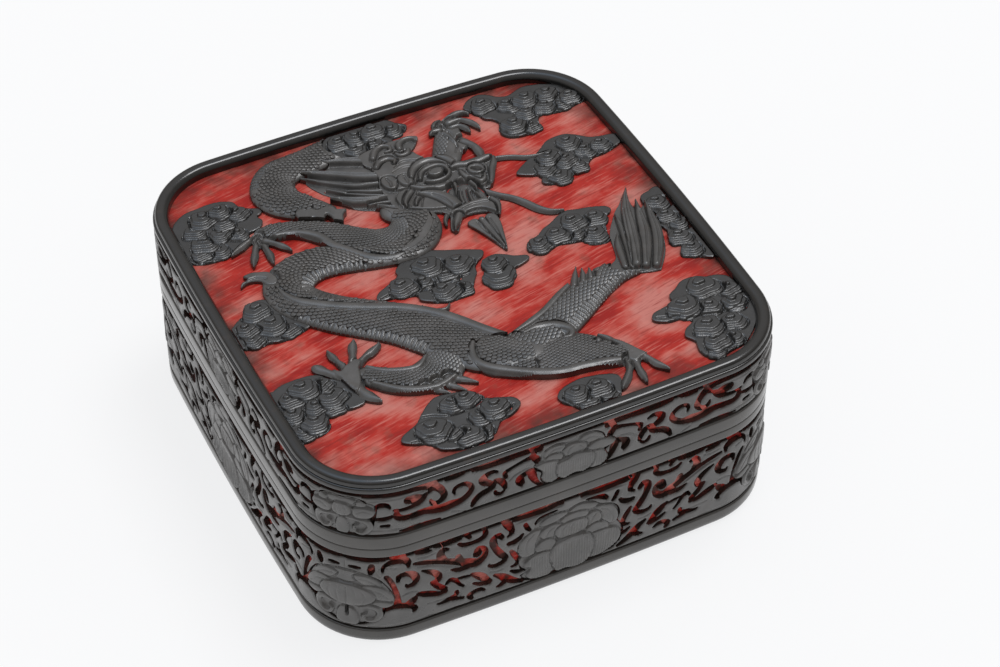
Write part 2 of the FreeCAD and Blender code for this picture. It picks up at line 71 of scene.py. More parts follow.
# Studio.
# A matt white table that runs out of sight, an even white room, and one broad soft lamp overhead,
# a little to the right, which puts the bright line on the frame's front edge.
def studio_lamp(name, place, aim, size, power):
    """A square soft lamp that shines at a point."""
    data = bpy.data.lights.new(name, "AREA")
    data.size = size
    data.energy = power
    lamp = bpy.data.objects.new(name, data)
    lamp.location = place
    lamp.rotation_euler = (Vector(place) - Vector(aim)).to_track_quat("Z", "Y").to_euler()
    bpy.context.scene.collection.objects.link(lamp)


def connect(tree, given, inlet):
    """Joins a socket of a material or of a geometry tree to an inlet, or sets a plain value there."""
    if hasattr(given, "links"):
        tree.links.new(given, inlet)
    else:
        inlet.default_value = given


def add_node(tree, kind, inlets, **settings):
    """A new node of a tree, with its settings and with what goes into it."""
    node = tree.nodes.new(kind)
    for label, value in settings.items():
        setattr(node, label, value)
    for label, given in inlets.items():
        connect(tree, given, node.inputs[label])
    return node


def work_out(tree, operation, *values):
    """A sum, product or the like of values."""
    node = add_node(tree, "ShaderNodeMath", dict(enumerate(values)), operation=operation)
    return node.outputs["Value"]


def ramp(tree, source, stops):
    """Colours by a value: stops are pairs of a place from 0 to 1 and a colour."""
    node = add_node(tree, "ShaderNodeValToRGB", {"Fac": source})
    while len(node.color_ramp.elements) < len(stops):
        node.color_ramp.elements.new(0.5)
    for element, (place, colour) in zip(node.color_ramp.elements, stops):
        element.position = place
        element.color = (*colour, 1)
    return node.outputs["Color"]


def new_finish(name):
    """An empty material and its main shader."""
    material = bpy.data.materials.new(name)
    material.use_nodes = True
    return material, material.node_tree, material.node_tree.nodes["Principled BSDF"]


def seen_or_mirrored(tree, share):
    """A share for what the camera sees straight or mirrored in gloss, and nothing for other light."""
    path = tree.nodes.new("ShaderNodeLightPath").outputs
    mirrored = work_out(tree, "MAXIMUM", path["Is Glossy Ray"], path["Is Transmission Ray"])
    seen = work_out(tree, "MAXIMUM", path["Is Camera Ray"], mirrored)
    return work_out(tree, "MULTIPLY", seen, share)


def studio_table():
    """A wide flat table top under the box."""
    reach = 6.0
    mesh = bpy.data.meshes.new("table_top")
    corners = [(-reach, -reach, 0), (reach, -reach, 0), (reach, reach, 0), (-reach, reach, 0)]
    mesh.from_pydata(corners, [], [(0, 1, 2, 3)])
    material, tree, shader = new_finish("matt_white_table")
    shader.inputs["Base Color"].default_value = (0.95, 0.95, 0.955, 1)
    shader.inputs["Roughness"].default_value = 0.9
    shader.inputs["Specular IOR Level"].default_value = 0.1
    white = add_node(tree, "ShaderNodeEmission", {"Color": (0.985, 0.99, 1.0, 1)})
    mixed = add_node(tree, "ShaderNodeMixShader", {
        "Fac": seen_or_mirrored(tree, 0.80), 1: shader.outputs["BSDF"], 2: white.outputs["Emission"]})
    connect(tree, mixed.outputs["Shader"], tree.nodes["Material Output"].inputs["Surface"])
    mesh.materials.append(material)
    table = bpy.data.objects.new("table_top", mesh)
    bpy.context.scene.collection.objects.link(table)


def studio_room():
    """An even white room. What shows mirrored in the lacquer is bright and bluish overhead, where
    the skylight is, and dimmer towards the walls."""
    world = bpy.data.worlds.new("white_room")
    world.use_nodes = True
    tree = world.node_tree
    even = tree.nodes["Background"]
    even.inputs["Color"].default_value = (1.0, 1.0, 1.0, 1)
    even.inputs["Strength"].default_value = 0.62
    skylight = Vector((-0.10, 0.18, 0.98)).normalized()
    direction = tree.nodes.new("ShaderNodeTexCoord").outputs["Generated"]
    towards = add_node(tree, "ShaderNodeVectorMath", {0: direction, 1: skylight}, operation="DOT_PRODUCT")
    glow = ramp(tree, towards.outputs["Value"], [
        (0.0, (0.24, 0.23, 0.22)), (0.45, (0.34, 0.33, 0.32)), (0.76, (0.64, 0.63, 0.63)),
        (0.90, (0.75, 0.79, 0.86)), (1.0, (1.2, 1.42, 1.7))])
    mirrored = add_node(tree, "ShaderNodeBackground", {"Color": glow})
    mixed = add_node(tree, "ShaderNodeMixShader", {
        "Fac": seen_or_mirrored(tree, 1.0), 1: even.outputs["Background"], 2: mirrored.outputs["Background"]})
    connect(tree, mixed.outputs["Shader"], tree.nodes["World Output"].inputs["Surface"])
    bpy.context.scene.world = world


studio_table()
studio_room()
studio_lamp("overhead_lamp", (1.5, 0.3, 4.6), (0, 0, 0.04), 2.0, 82.0)


# Lacquer finishes.
# Black lacquer over wood: satin on the carving, where dust and handling have greyed it, and
# glossier on the plain mouldings. The red ground is matt and scraped. All are painted by noise in
# the box's own frame, in metres. Painted shade is also laid into the colour: on the carving's cut
# walls, on the lid's red panel along the frame, and in large dark patches on the side bands' red.
def speckle(tree, size, detail=3, stretch=(1, 1, 1), turn=(0, 0, 0)):
    """A noise pattern with spots about one size across, in metres, which may be turned and drawn
    out by a factor each way."""
    place = tree.nodes.new("ShaderNodeTexCoord").outputs["Object"]
    turned = add_node(tree, "ShaderNodeMapping", {
        "Vector": place, "Rotation": turn, "Scale": stretch}, vector_type="TEXTURE")
    noise = add_node(tree, "ShaderNodeTexNoise", {
        "Vector": turned.outputs["Vector"], "Scale": 1 / size, "Detail": detail})
    return noise.outputs["Fac"]


def spread(tree, source, low, high, new_low, new_high):
    """Maps a value from one range to another, held within it."""
    node = add_node(tree, "ShaderNodeMapRange", {
        "Value": source, "From Min": low, "From Max": high, "To Min": new_low, "To Max": new_high})
    return node.outputs["Result"]


def tint(tree, base, other, share):
    """Lays a plain colour over another by a share."""
    node = add_node(tree, "ShaderNodeMix", {
        "Factor": share, "A": base, "B": (*other, 1)}, data_type="RGBA")
    return node.outputs["Result"]


def relief(tree, source, shader, depth, strength):
    """Fine surface relief, up to a depth in metres."""
    bump = add_node(tree, "ShaderNodeBump", {"Height": source, "Distance": depth, "Strength": strength})
    connect(tree, bump.outputs["Normal"], shader.inputs["Normal"])


def coat(tree, shader, colour, rough):
    """Gives a shader its colour and its roughness."""
    connect(tree, colour, shader.inputs["Base Color"])
    connect(tree, rough, shader.inputs["Roughness"])


def carved_black_finish(name, dust):
    """Satin black lacquer with grey bloom; its cut walls are tinted dark brown, which on the dusty carving is
    painted shade in the cuts. Dust lightens it.
    """
    material, tree, shader = new_finish(name)
    bloom = spread(tree, speckle(tree, 0.006), 0.35, 0.7, 0.0, 1.0)
    colour = ramp(tree, bloom, [
        (0.0, (0.021 * dust, 0.020 * dust, 0.019 * dust)), (1.0, (0.040 * dust, 0.038 * dust, 0.037 * dust))])
    grime = spread(tree, speckle(tree, 0.0035, 4), 0.55, 0.75, 0.0, 0.5)
    colour = tint(tree, colour, (0.026 * dust, 0.021 * dust, 0.017 * dust), grime)
    # Painted shade: the cut walls are tinted dark brown, darkening the dusty carving where its walls stand in
    # shade.
    cut = tree.nodes.new("ShaderNodeAttribute")
    cut.attribute_name = "cut_side"
    colour = tint(tree, colour, (0.020, 0.013, 0.010), spread(tree, cut.outputs["Fac"], 0.3, 1.0, 0.0, 0.9))
    coat(tree, shader, colour, spread(tree, speckle(tree, 0.004, 4), 0.3, 0.7, 0.24, 0.40))
    shader.inputs["Specular IOR Level"].default_value = 0.9
    relief(tree, speckle(tree, 0.0007), shader, 0.00008, 0.35)
    return material


def polished_black_finish(name, wear):
    """Glossier black lacquer of the plain mouldings, slightly uneven and rubbed brown in places;
    wear greys it."""
    material, tree, shader = new_finish(name)
    cloudy = spread(tree, speckle(tree, 0.018), 0.3, 0.7, 0.0, 1.0)
    colour = ramp(tree, cloudy, [
        (0.0, (0.011 * wear, 0.010 * wear, 0.009 * wear)), (1.0, (0.022 * wear, 0.020 * wear, 0.018 * wear))])
    worn = spread(tree, speckle(tree, 0.003, 5), 0.58, 0.80, 0.0, 0.45)
    colour = tint(tree, colour, (0.042, 0.026, 0.017), worn)
    coat(tree, shader, colour, spread(tree, speckle(tree, 0.009, 4), 0.3, 0.7, 0.09, 0.20))
    shader.inputs["Specular IOR Level"].default_value = 0.75
    relief(tree, speckle(tree, 0.0016, 2), shader, 0.00006, 0.25)
    return material


def painted_frame_shade(tree):
    """A share of painted shade: nothing in the middle of the lid's panel, and uneven and full along the
    frame, where the raised frame shades the red.
    """
    place = tree.nodes.new("ShaderNodeTexCoord").outputs["Object"]
    apart = add_node(tree, "ShaderNodeSeparateXYZ", {"Vector": place})
    across, up = (work_out(tree, "ABSOLUTE", apart.outputs[axis]) for axis in "XY")
    near_frame = spread(tree, work_out(tree, "MAXIMUM", across, up), 0.060, 0.0705, 0.0, 0.9)
    uneven = spread(tree, speckle(tree, 0.007, 4), 0.35, 0.62, 0.1, 1.0)
    return work_out(tree, "MULTIPLY", near_frame, uneven)


def red_finish(name, dirt_and_shade_size, dirt_and_shade_start, dirt_and_shade_full, dirt_and_shade_share, dirt_and_shade_colour, framed):
    """Red lacquer ground: hand-scraped, streaked and faded to pink where it is rubbed. Noise patches of
    a given colour darken it: brown dirt on the lid's panel, and painted shade of the slot walls,
    nearly black-brown, on the side bands. If it is framed, painted shade darkens it along the frame."""
    material, tree, shader = new_finish(name)
    scrape_turn = (0, 0, math.radians(13))
    streaks = speckle(tree, 0.0006, 3, (12, 1, 1), scrape_turn)
    patches = speckle(tree, 0.011, 4, (1.7, 1, 1), scrape_turn)
    colour = ramp(tree, spread(tree, patches, 0.37, 0.63, 0.0, 1.0), [
        (0.0, (0.34, 0.012, 0.009)), (0.36, (0.46, 0.026, 0.017)), (0.62, (0.53, 0.095, 0.074)),
        (1.0, (0.57, 0.200, 0.170))])
    colour = tint(tree, colour, (0.64, 0.22, 0.18), spread(tree, streaks, 0.53, 0.72, 0.0, 0.6))
    colour = tint(tree, colour, (0.26, 0.018, 0.012), spread(tree, streaks, 0.46, 0.27, 0.0, 0.7))
    # Dark patches: brown dirt on the lid's panel; on the side bands, painted shade of the slot walls.
    dirt_and_shade = spread(tree, speckle(tree, dirt_and_shade_size, 5), dirt_and_shade_start, dirt_and_shade_full, 0.0, dirt_and_shade_share)
    colour = tint(tree, colour, dirt_and_shade_colour, dirt_and_shade)
    # Painted shade along the frame's inner edge, dark brown and uneven.
    if framed:
        colour = tint(tree, colour, (0.045, 0.028, 0.022), painted_frame_shade(tree))
    coat(tree, shader, colour, spread(tree, patches, 0.3, 0.7, 0.42, 0.6))
    shader.inputs["Specular IOR Level"].default_value = 0.2
    relief(tree, streaks, shader, 0.00010, 0.4)
    return material


def wood_finish():
    """Plain pale softwood of the hidden core, with fine straight grain."""
    material, tree, shader = new_finish("wood_core")
    grain = speckle(tree, 0.0012, 4, (20, 1, 1))
    coat(tree, shader, ramp(tree, grain, [(0.3, (0.30, 0.19, 0.105)), (0.7, (0.46, 0.32, 0.19))]), 0.7)
    relief(tree, grain, shader, 0.0001, 0.4)
    return material


def lining_finish():
    """Thin dark lacquer brushed over the inside and the underside."""
    material, tree, shader = new_finish("lining_lacquer")
    brushed = speckle(tree, 0.002, 3, (8, 1, 1))
    colour = ramp(tree, brushed, [(0.3, (0.020, 0.015, 0.013)), (0.7, (0.040, 0.026, 0.020))])
    coat(tree, shader, colour, spread(tree, brushed, 0.3, 0.7, 0.32, 0.45))
    relief(tree, brushed, shader, 0.00005, 0.3)
    return material


finishes = {
    "carved_black_lacquer": carved_black_finish("carved_black_lacquer", 2.0),
    "clean_black_lacquer": carved_black_finish("clean_black_lacquer", 0.4),
    "polished_black_lacquer": polished_black_finish("polished_black_lacquer", 0.5),
    "worn_black_lacquer": polished_black_finish("worn_black_lacquer", 2.4),
    # The lid's panel: brown dirt in patches, and painted shade along the frame.
    "red_lacquer": red_finish("red_lacquer", 0.006, 0.58, 0.76, 0.5, (0.15, 0.085, 0.062), True),
    # Painted shade: the side bands' red is darkened nearly to black-brown in large patches, standing for the
    # shade that the slot walls cast.
    "grimy_red_lacquer": red_finish(
        "grimy_red_lacquer", 0.0045, 0.44, 0.58, 0.93, (0.040, 0.024, 0.019), False),
    "wood_core": wood_finish(),
    "lining_lacquer": lining_finish()}


def dress_node(node, finish):
    """Gives a kept CAD piece its finish."""
    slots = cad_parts[node].data.materials
    slots.clear()
    slots.append(finishes[finish])


# Plan of the box.
# The sides bow out very slightly and run smoothly into round corners; every moulding and every
# carved band follows this one line.
half_width, half_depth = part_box("base_mouth_rim")[1].xy
corner_radius = 0.0254
side_radius = 1.55


def corner_centre():
    """Centre of the back right corner's arc."""
    reach = side_radius - corner_radius
    x = half_width - corner_radius
    y = half_depth - corner_radius
    for _ in range(12):
        x = math.sqrt(reach ** 2 - y ** 2) - side_radius + half_width
        y = math.sqrt(reach ** 2 - x ** 2) - side_radius + half_depth
    return x, y


corner_x, corner_y = corner_centre()
front_sweep = math.atan2(corner_x, corner_y + side_radius - half_depth)
flank_sweep = math.atan2(corner_y, corner_x + side_radius - half_width)
corner_sweep = math.pi / 2 - front_sweep - flank_sweep
front_length = 2 * side_radius * front_sweep
flank_length = 2 * side_radius * flank_sweep
corner_length = corner_radius * corner_sweep
flank_x = half_width - side_radius
flank_y = half_depth - side_radius
plan_arcs = [
    (front_length, side_radius, 0, -flank_y, -math.pi / 2 - front_sweep),
    (corner_length, corner_radius, corner_x, -corner_y, -math.pi / 2 + front_sweep),
    (flank_length, side_radius, flank_x, 0, -flank_sweep),
    (corner_length, corner_radius, corner_x, corner_y, flank_sweep),
    (front_length, side_radius, 0, flank_y, math.pi / 2 - front_sweep),
    (corner_length, corner_radius, -corner_x, corner_y, math.pi / 2 + front_sweep),
    (flank_length, side_radius, -flank_x, 0, math.pi - flank_sweep),
    (corner_length, corner_radius, -corner_x, -corner_y, math.pi + flank_sweep)]
plan_length = sum(arc[0] for arc in plan_arcs)
front_middle = front_length / 2
right_middle = front_length + corner_length + flank_length / 2
side_middles = {
    "front": front_middle,
    "right": right_middle,
    "back": front_middle + plan_length / 2,
    "left": right_middle + plan_length / 2}
half_front = front_length / 2 + corner_length / 2
half_flank = flank_length / 2 + corner_length / 2


def plan_spot(run, outward):
    """Places on the plan line, by distance round it and distance out from it."""
    run = np.mod(run, plan_length)
    x = np.zeros_like(run)
    y = np.zeros_like(run)
    start = 0.0
    for length, radius, centre_x, centre_y, angle in plan_arcs:
        here = (run >= start) & (run <= start + length)
        turn = angle + (run - start) / radius
        x = np.where(here, centre_x + (radius + outward) * np.cos(turn), x)
        y = np.where(here, centre_y + (radius + outward) * np.sin(turn), y)
        start += length
    return x, y


# Plain mouldings, hoops and linings.
# Each is one ring of the same section all the way round, like the bent and turned strips of the
# real box, so a section is drawn once and swept along the plan line by a geometry tree.
def link_piece(name, mesh):
    """A new object in the scene, at the origin."""
    piece = bpy.data.objects.new(name, mesh)
    bpy.context.scene.collection.objects.link(piece)
    return piece


def new_tree(name, inputs):
    """A geometry tree with named inputs of these kinds besides its geometry: the tree, what it is
    given and where its result goes."""
    tree = bpy.data.node_groups.new(name, "GeometryNodeTree")
    tree.interface.new_socket("Geometry", in_out="INPUT", socket_type="NodeSocketGeometry")
    for label, kind in inputs:
        tree.interface.new_socket(label, in_out="INPUT", socket_type="NodeSocket" + kind)
    tree.interface.new_socket("Geometry", in_out="OUTPUT", socket_type="NodeSocketGeometry")
    given = tree.nodes.new("NodeGroupInput").outputs
    return tree, given, tree.nodes.new("NodeGroupOutput").inputs["Geometry"]


def grow(piece, tree, settings):
    """Runs a geometry tree on a piece with these settings and keeps the result as a plain mesh."""
    modifier = piece.modifiers.new("grow", "NODES")
    modifier.node_group = tree
    for item in tree.interface.items_tree:
        if item.name in settings:
            modifier[item.identifier] = settings[item.name]
    bpy.context.view_layer.update()
    graph = bpy.context.evaluated_depsgraph_get()
    grown = bpy.data.meshes.new_from_object(piece.evaluated_get(graph))
    grown.name = piece.name
    piece.modifiers.remove(modifier)
    piece.data = grown


def moulding_tree():
    """Sweeps a section object along a closed line of edges."""
    tree, given, result = new_tree("moulding", [("Section", "Object"), ("Finish", "Material")])
    line = add_node(tree, "GeometryNodeMeshToCurve", {"Mesh": given["Geometry"]})
    upright = add_node(tree, "GeometryNodeSetCurveNormal", {"Curve": line.outputs["Curve"]}, mode="Z_UP")
    section = add_node(tree, "GeometryNodeObjectInfo", {"Object": given["Section"]})
    sweep = add_node(tree, "GeometryNodeCurveToMesh", {
        "Curve": upright.outputs["Curve"], "Profile Curve": section.outputs["Geometry"]})
    smooth = add_node(tree, "GeometryNodeSetShadeSmooth", {"Geometry": sweep.outputs["Mesh"]})
    real = add_node(tree, "GeometryNodeRealizeInstances", {"Geometry": smooth.outputs["Geometry"]})
    finish = add_node(tree, "GeometryNodeSetMaterial", {
        "Geometry": real.outputs["Geometry"], "Material": given["Finish"]})
    connect(tree, finish.outputs["Geometry"], result)
    return tree


def softened(corners):
    """A section outline with its corners rounded: corners are distance out, height and radius."""
    count = len(corners)
    line = []
    for index, (out, height, radius) in enumerate(corners):
        here = Vector((out, height))
        before = Vector(corners[index - 1][:2])
        after = Vector(corners[(index + 1) % count][:2])
        if radius == 0:
            line.append(here)
            continue
        to_before = (before - here).normalized()
        to_after = (after - here).normalized()
        start = here + to_before * radius
        end = here + to_after * radius
        steps = 5
        for step in range(steps + 1):
            share = step / steps
            line.append(start * (1 - share) ** 2 + here * 2 * share * (1 - share) + end * share ** 2)
    return line


sweep_tree = moulding_tree()
plan_step = 0.0021


def swept_ring(name, body, finish, corners):
    """One moulding or hoop, which stands for the CAD node of its name. Corners with no radius of
    their own are just eased."""
    corner_edge = 0.00012
    eased = [(out, height, radius if radius else corner_edge) for out, height, radius in corners]
    curve = bpy.data.curves.new(name + "_section", "CURVE")
    curve.dimensions = "3D"
    spline = curve.splines.new("POLY")
    outline = softened(eased)
    spline.points.add(len(outline) - 1)
    for point, place in zip(spline.points, reversed(outline)):
        point.co = (place.x, -place.y, 0, 1)
    spline.use_cyclic_u = True
    section = link_piece(name + "_section", curve)
    count = int(plan_length / plan_step)
    runs = np.arange(count) * plan_length / count
    x, y = plan_spot(runs, 0)
    mesh = bpy.data.meshes.new(name)
    verts = [(float(px), float(py), 0.0) for px, py in zip(x, y)]
    mesh.from_pydata(verts, [(index, (index + 1) % count) for index in range(count)], [])
    piece = link_piece(name + "_ring", mesh)
    grow(piece, sweep_tree, {"Section": section, "Finish": finishes[finish]})
    bpy.data.objects.remove(section)
    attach(piece, body)
    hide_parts(name)


def section_of(node, thickness, low_radius, high_radius):
    """The section of a ring with rounded outer edges, from its CAD node's box."""
    low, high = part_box(node)
    out = high.x - half_width
    return [
        (out - thickness, low.z, 0), (out, low.z, low_radius),
        (out, high.z, high_radius), (out - thickness, high.z, 0)]


foot_thickness = 0.0075
rim_thickness = 0.0026
wall_thickness = 0.0049
lid_wall_thickness = 0.004
lip_thickness = 0.002
foot_round = 0.0026
rim_round = 0.0009
join_round = 0.0005
fillet_round = 0.0007

swept_ring("base_foot_rim", "base", "worn_black_lacquer",
           section_of("base_foot_rim", foot_thickness, foot_round, rim_round))
swept_ring("base_wall_hoop", "base", "wood_core",
           section_of("base_wall_hoop", wall_thickness, 0, 0))
swept_ring("base_lip_hoop", "base", "lining_lacquer",
           section_of("base_lip_hoop", lip_thickness, 0, 0.0004))
swept_ring("base_mouth_rim", "base", "worn_black_lacquer",
           section_of("base_mouth_rim", rim_thickness, rim_round, join_round))
swept_ring("lid_wall_hoop", "lid", "wood_core",
           section_of("lid_wall_hoop", lid_wall_thickness, 0, 0))
swept_ring("lid_lower_rim", "lid", "worn_black_lacquer",
           section_of("lid_lower_rim", rim_thickness, join_round, rim_round))
swept_ring("lid_upper_fillet", "lid", "polished_black_lacquer",
           section_of("lid_upper_fillet", rim_thickness, fillet_round, fillet_round))

# Top frame: a raised moulding round the picture. Its outer edge is rounded and catches the
# light; its inner side slopes down to the red panel.
frame_low, frame_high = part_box("lid_top_frame")
fillet_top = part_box("lid_upper_fillet")[1].z
panel_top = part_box("lid_red_panel")[1].z
panel_half_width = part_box("lid_red_panel")[1].x
frame_out = frame_high.x - half_width
frame_in = panel_half_width - half_width
swept_ring("lid_top_frame", "lid", "polished_black_lacquer", [
    (frame_in, frame_low.z, 0),
    (-rim_thickness, frame_low.z, 0),
    (-rim_thickness, fillet_top, 0),
    (frame_out, fillet_top, 0),
    (frame_out, frame_high.z, 0.0017),
    (frame_in + 0.0012, frame_high.z - 0.0001, 0.0007),
    (frame_in, frame_high.z - 0.0013, 0.0006)])

for kept_node, kept_finish in (
        ("base_floor_board", "wood_core"), ("base_underside_lacquer", "lining_lacquer"),
        ("base_inner_lining", "lining_lacquer"), ("lid_top_board", "wood_core"),
        ("lid_inner_lining", "lining_lacquer"), ("lid_red_panel", "red_lacquer")):
    dress_node(kept_node, kept_finish)
# The red ground in the side bands' slots takes the red lacquer with painted shade.
for kept_node in ("base_red_ground", "lid_red_ground"):
    dress_node(kept_node, "grimy_red_lacquer")
for name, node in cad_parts.items():
    if not node.hide_render and not node.data.materials:
        dress_node(name, "carved_black_lacquer")


# Carving.
# The relief is cut by hand in soft layered lacquer: flat faces, steep walls, softened edges and
# shallow cut lines. A carving is worked on a fine grid of spots over a board. Each spot keeps how
# far it is inside the cut outline and how high the face stands, and the grid becomes a closed mesh.
class Carving:
    """A board seen from its face, with the places where it is cut through or raised."""

    def __init__(self, low, high, spacing, solid):
        across = np.arange(low[0], high[0] + spacing, spacing)
        up = np.arange(low[1], high[1] + spacing, spacing)
        self.x, self.y = np.meshgrid(across, up, indexing="ij")
        self.low = np.array(low, float)
        self.spacing = spacing
        self.border = np.minimum(
            np.minimum(self.x - low[0], high[0] - self.x),
            np.minimum(self.y - low[1], high[1] - self.y)) - spacing / 2
        self.inside = self.border.copy() if solid else np.full(self.x.shape, -1.0)
        self.height = np.zeros(self.x.shape)

    def window(self, low, high):
        """The part of the grid that covers a box."""
        first = np.floor((np.array(low) - self.low) / self.spacing).astype(int)
        last = np.ceil((np.array(high) - self.low) / self.spacing).astype(int) + 1
        first = np.clip(first, 0, self.x.shape)
        last = np.clip(last, 0, self.x.shape)
        return slice(first[0], last[0]), slice(first[1], last[1])


def eased_route(marks, step):
    """A smooth line through marks, which are places and half widths."""
    marks = np.array(marks, float)
    if len(marks) == 1:
        return np.vstack([marks, marks])
    padded = np.vstack([2 * marks[0] - marks[1], marks, 2 * marks[-1] - marks[-2]])
    return np.vstack([marks[:1]] + [
        eased_stretch(padded[index:index + 4], step) for index in range(len(marks) - 1)])


def eased_outline(marks, step):
    """A smooth closed outline through marks."""
    marks = np.array(marks, float)
    ring = np.vstack([marks[-1:], marks, marks[:2]])
    return np.vstack([eased_stretch(ring[index:index + 4], step) for index in range(len(marks))])


def eased_stretch(four, step):
    """The smooth stretch between the middle two of four marks."""
    before, start, end, after = four
    gap = np.linalg.norm(end[:2] - start[:2])
    count = max(2, int(math.ceil(gap / step)))
    share = (np.arange(1, count + 1) / count)[:, None]
    return 0.5 * (
        2 * start + (end - before) * share
        + (2 * before - 5 * start + 4 * end - after) * share ** 2
        + (3 * start - before - 3 * end + after) * share ** 3)


def stroke_field(carving, route, reach):
    """Round a route: the window, the distance inside the stroke, the place across it from -1 to 1,
    the distance along it and its half width there."""
    widest = route[:, 2].max() + reach
    window = carving.window(route[:, :2].min(0) - widest, route[:, :2].max(0) + widest)
    offset = (window[0].start, window[1].start)
    x = carving.x[window]
    y = carving.y[window]
    inside = np.full(x.shape, -1.0)
    across = np.zeros(x.shape)
    along = np.zeros(x.shape)
    widths = np.zeros(x.shape)
    walked = 0.0
    for start, end in zip(route[:-1], route[1:]):
        step = end[:2] - start[:2]
        length = max(float(np.hypot(*step)), 1e-9)
        near = max(start[2], end[2]) + reach
        wide = carving.window(
            np.minimum(start[:2], end[:2]) - near, np.maximum(start[:2], end[:2]) + near)
        part = tuple(slice(cut.start - shift, cut.stop - shift) for cut, shift in zip(wide, offset))
        px = x[part] - start[0]
        py = y[part] - start[1]
        share = np.clip((px * step[0] + py * step[1]) / length ** 2, 0, 1)
        away = np.hypot(px - share * step[0], py - share * step[1])
        half = start[2] + share * (end[2] - start[2])
        better = half - away > inside[part]
        side = np.sign(py * step[0] - px * step[1])
        inside[part] = np.where(better, half - away, inside[part])
        across[part] = np.where(better, side * away / np.maximum(half, 1e-6), across[part])
        along[part] = np.where(better, walked + share * length, along[part])
        widths[part] = np.where(better, half, widths[part])
        walked += length
    return window, inside, across, along, widths


def area_field(carving, outline, reach):
    """Round a closed outline: the window, and the distance inside it, negative outside."""
    window = carving.window(outline.min(0) - reach, outline.max(0) + reach)
    x = carving.x[window]
    y = carving.y[window]
    nearest = np.full(x.shape, 1.0)
    within = np.zeros(x.shape, bool)
    for start, end in zip(outline, np.roll(outline, -1, axis=0)):
        step = end - start
        length = max(float(np.hypot(*step)), 1e-9)
        px = x - start[0]
        py = y - start[1]
        share = np.clip((px * step[0] + py * step[1]) / length ** 2, 0, 1)
        nearest = np.minimum(nearest, np.hypot(px - share * step[0], py - share * step[1]))
        if start[1] != end[1]:
            passed = (start[1] > y) != (end[1] > y)
            within ^= passed & (px < py * step[0] / step[1])
    return window, np.where(within, nearest, -nearest)


wall_slope = 4.0


def rounded(inside, width):
    """How far a softened edge has risen, from 0 at the outline to 1 at its full width."""
    share = np.clip(inside / width, 0, 1)
    return np.sqrt(1 - (1 - share) ** 2)


def lay_over(carving, window, inside, height, groove, groove_slope=wall_slope):
    """Lays a raised shape over what is there, with a cut line of the given depth round it. Its
    wall is spread over about one space of the grid, so that its edge runs smoothly."""
    beyond = np.maximum(-inside - carving.spacing, 0)
    here = carving.height[window]
    solid = carving.inside[window] > 0
    beside = np.where(solid, here, height - beyond * wall_slope)
    if groove:
        beside = np.where(solid, np.minimum(here, height - groove + beyond * groove_slope), beside)
    share = np.clip(inside / (1.3 * carving.spacing) + 0.5, 0, 1)
    carving.height[window] = np.where(inside > -0.9, beside + share * (height - beside), here)
    carving.inside[window] = np.maximum(carving.inside[window], inside)


def raise_stroke(carving, route, level, dome, groove):
    """A rounded raised strand."""
    window, inside, across, _, _ = stroke_field(carving, route, carving.spacing * 3)
    height = level + dome * (1 - np.clip(np.abs(across), 0, 1) ** 2)
    lay_over(carving, window, inside, height, groove)


def raise_petal(carving, outline, level, dome, edge, groove):
    """A raised petal or plate with a softened edge."""
    window, inside = area_field(carving, outline, carving.spacing * 3)
    lay_over(carving, window, inside, level + dome * rounded(inside, edge), groove)


beyond_cut = 0.0012


def cut_through(carving, route):
    """Cuts a slot right through the board."""
    window, inside, _, _, _ = stroke_field(carving, route, beyond_cut)
    carving.inside[window] = np.minimum(carving.inside[window], -inside)


def cut_line(carving, route, depth):
    """A shallow cut line."""
    window, inside, across, _, _ = stroke_field(carving, route, 0)
    carving.height[window] -= depth * np.clip(1 - np.abs(across), 0, 1) * (inside > 0)


fine_step = 0.0005


def carve(carving, layers, placed, edge, groove):
    """Lays the shapes of a carving over each other in order. Each is a kind, the level of its edge
    and its rise in millimetres, and its marks, which placed turns into places on the board."""
    for kind, level, rise, marks in layers:
        if kind == "plate":
            outline = eased_outline(placed(marks), fine_step)
            raise_petal(carving, outline, level / 1000, rise / 1000, edge, groove)
        elif kind == "strand":
            raise_stroke(carving, eased_route(placed(marks), fine_step), level / 1000, rise / 1000, groove)
        else:
            cut_line(carving, eased_route(placed(marks), fine_step), rise / 1000)


def soften_edges(carving, width, drop):
    """Takes the sharpness off every cut edge."""
    carving.height -= drop * (1 - rounded(carving.inside, width))


def back_faces(edges, x, y):
    """Triangles that close the flat back, from the directed edges of its outlines, or nothing where
    those can't be filled whole."""
    follows = dict(zip(edges[:, 0].tolist(), edges[:, 1].tolist()))
    loops = []
    while follows:
        start, here = follows.popitem()
        loop = [start]
        while here != start:
            loop.append(here)
            here = follows.pop(here)
        loops.append(loop)
    turns = [np.sum(x[loop] * np.roll(y[loop], -1) - np.roll(x[loop], -1) * y[loop]) for loop in loops]
    wanted = sum(map(len, loops)) - 2 * sum(1 if turn > 0 else -1 for turn in turns)
    order = np.concatenate(loops)
    found = tessellate_polygon([[(x[spot], y[spot], 0.0) for spot in loop] for loop in loops])
    back = order[np.array(found)]
    ax, bx, cx = (x[back[:, column]] for column in range(3))
    ay, by, cy = (y[back[:, column]] for column in range(3))
    area = (bx - ax) * (cy - ay) - (by - ay) * (cx - ax)
    if len(found) != wanted or abs(np.abs(area).sum() / sum(turns) - 1) > 1e-4:
        return None
    back[area > 0] = back[area > 0][:, ::-1]
    return back


least_thickness = 0.00005


